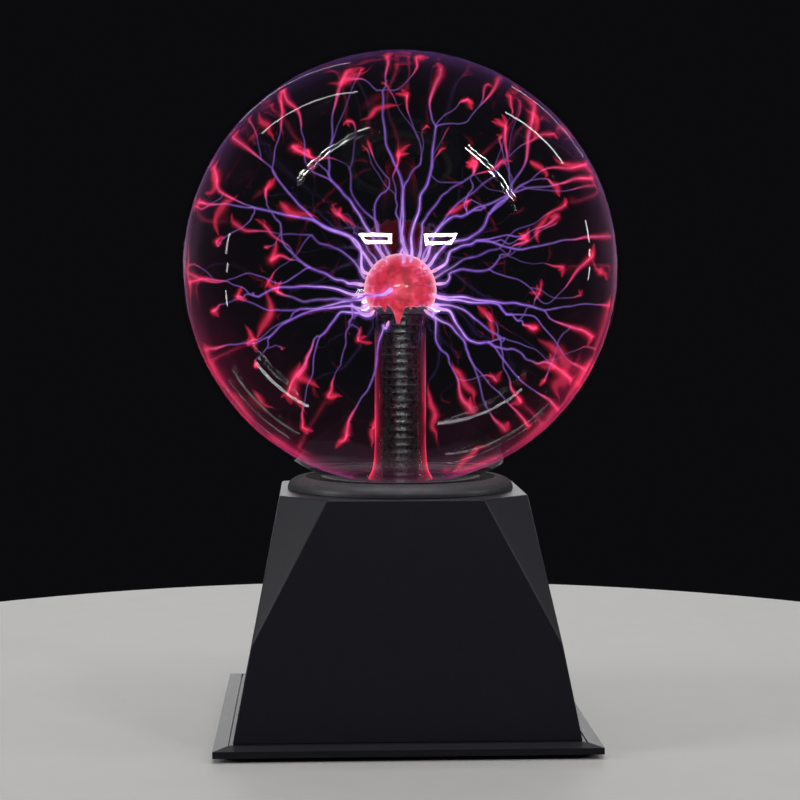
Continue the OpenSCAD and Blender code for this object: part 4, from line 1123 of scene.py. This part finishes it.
def broken_panes(width, height, bar, seed):
    """Two uneven, interrupted rails along the height."""
    dice = random.Random(seed)
    panes = []
    for side in (-1, 1):
        y = -height / 2
        while y < height / 2:
            step = dice.uniform(0.04, 0.13) * height
            thick = bar * dice.choice((0, 0.25, 0.4, 0.9, 1.5))
            x = side * (width / 2 - bar * dice.uniform(0, 1.3))
            if thick:
                panes.append([(x - thick / 2, y), (x + thick / 2, y),
                              (x + thick * 0.3, y + step * 0.95), (x - thick * 0.3, y + step * 0.95)])
            y += step
    return panes


def light_window(name, frame_place, panes, strength, seen_by="both", receivers=None):
    """Window of light that the globe mirrors, made of flat panes.

    The outer windows show on the globe's outside, the inner ones mainly in the far wall.
    """
    mesh = bmesh.new()
    for pane in panes:
        mesh.faces.new([mesh.verts.new((x, y, 0)) for x, y in pane])
    material, tree, output = blank_material(name)
    light = add_node(tree, "Emission", Strength=strength)
    feed(tree, output.inputs["Surface"], light.outputs["Emission"])
    window = new_object(name, to_data(mesh, name, material))
    window.matrix_world = frame_place
    window.visible_camera = False
    window.visible_diffuse = False
    window.visible_glossy = seen_by != "inner"
    window.visible_transmission = seen_by != "outer"
    link_light(window, receivers or inner_parts, "INCLUDE")


def standing(place, up):
    """Frame at a place that faces the globe with its height along a direction."""
    back = (place - GLOBE).normalized()
    side = up.cross(back).normalized()
    rise = back.cross(side)
    return Matrix.Translation(place) @ Matrix((side, rise, back)).transposed().to_4x4()


def light_card(name, azimuth, elevation, panes, strength, receivers=None):
    """Upright window in one direction from the globe."""
    place = standing(around(azimuth, elevation), Vector((0, 0, 1)))
    light_window(name, place, panes, strength, receivers=receivers)


def light_strip(name, start, end, width, bar, strength, seen_by):
    """Long window from one (azimuth, elevation) to another: broken rails with bar, else a full pane."""
    low, high = around(*start), around(*end)
    place = GLOBE + ((low + high) / 2 - GLOBE).normalized() * WINDOW_DISTANCE
    length = (high - low).length
    panes = broken_panes(width, length, bar, len(name)) if bar else card_panes(width, length, 0)
    light_window(name, standing(place, high - low), panes, strength, seen_by)


def around(azimuth, elevation):
    """Place of a window round the globe: azimuth 0 is in front, positive to the right."""
    a, e = math.radians(azimuth), math.radians(elevation)
    out = Vector((math.sin(a) * math.cos(e), -math.cos(a) * math.cos(e), math.sin(e)))
    return GLOBE + WINDOW_DISTANCE * out


inner_parts = (globe, stem, sleeve, coating)
for name, place, width, height, energy in (
        ("soft_top", (0, 0.2, 1.2), 0.6, 0.4, 4.5), ("soft_front", (0, -0.75, 1.0), 0.5, 0.4, 1.8),
        ("soft_left", (-1.1, -0.25, 0.5), 0.4, 0.8, 4.5), ("soft_right", (1.1, -0.2, 0.5), 0.3, 0.6, 2.0),
        ("soft_edge", (0.73, -0.68, 0.85), 0.2, 0.2, 1.6)):
    soft_light(name, place, width, height, energy, inner_parts)
soft_light("soft_back", (0, 1.3, 0.36), 2.2, 0.4, 6.0, inner_parts + (collar,))
light_card("card_left", -15, 13.3, card_panes(0.42, 0.128, 0.04, cut_left=0.22), 60)
light_card("card_right", 17.3, 12.9, card_panes(0.42, 0.14, 0.04, cut_right=0.2), 60)
light_strip("mirror_upper_left", (-66, 36), (-34, 70), 0.085, 0.018, 42, "outer")
light_strip("mirror_upper_right", (50, 56), (61, 29), 0.085, 0.018, 60, "outer")
light_strip("mirror_lower_left", (115, 30), (117, 53), 0.032, 0, 8, "inner")
light_strip("mirror_lower_right", (-134, 73), (-123, 40), 0.032, 0, 5, "inner")
light_strip("sheen_lower_left", (142, 20), (152, 36), 0.014, 0, 3, "inner")
light_strip("sheen_lower_right", (-169, 45), (-157, 22), 0.014, 0, 3, "inner")
light_card("spark_left", -8.5, -12, card_panes(0.34, 0.15, 0), 60, (coating,))
light_card("spark_right", 18, -12, card_panes(0.34, 0.15, 0), 60, (coating,))
for number, (azimuth, low_end, high_end) in enumerate((
        (107, 8, 14), (106, 4, 6), (105, -3, 1), (-99, 5, 12), (-98, -1, 2), (-101, -12, -7))):
    light_strip(f"glint_{number}", (azimuth, low_end), (azimuth + 1, high_end), 0.03, 0, 8, "outer")

# ---- Camera ----

camera_data = bpy.data.cameras.new("camera")
camera_data.sensor_width = 36
camera_data.lens = 82.92
camera = new_object("camera", camera_data)
distance, swing, eye_height = 0.8394, math.radians(-2.672), 0.1893
camera.location = (distance * math.sin(swing), -distance * math.cos(swing), eye_height)
aim(camera, (-0.00014, 0, 0.1464))
bpy.context.scene.camera = camera

bpy.context.scene.view_settings.view_transform = "Standard"
cycles = bpy.context.scene.cycles
cycles.transparent_max_bounces = 96
cycles.caustics_reflective = False
cycles.caustics_refractive = False
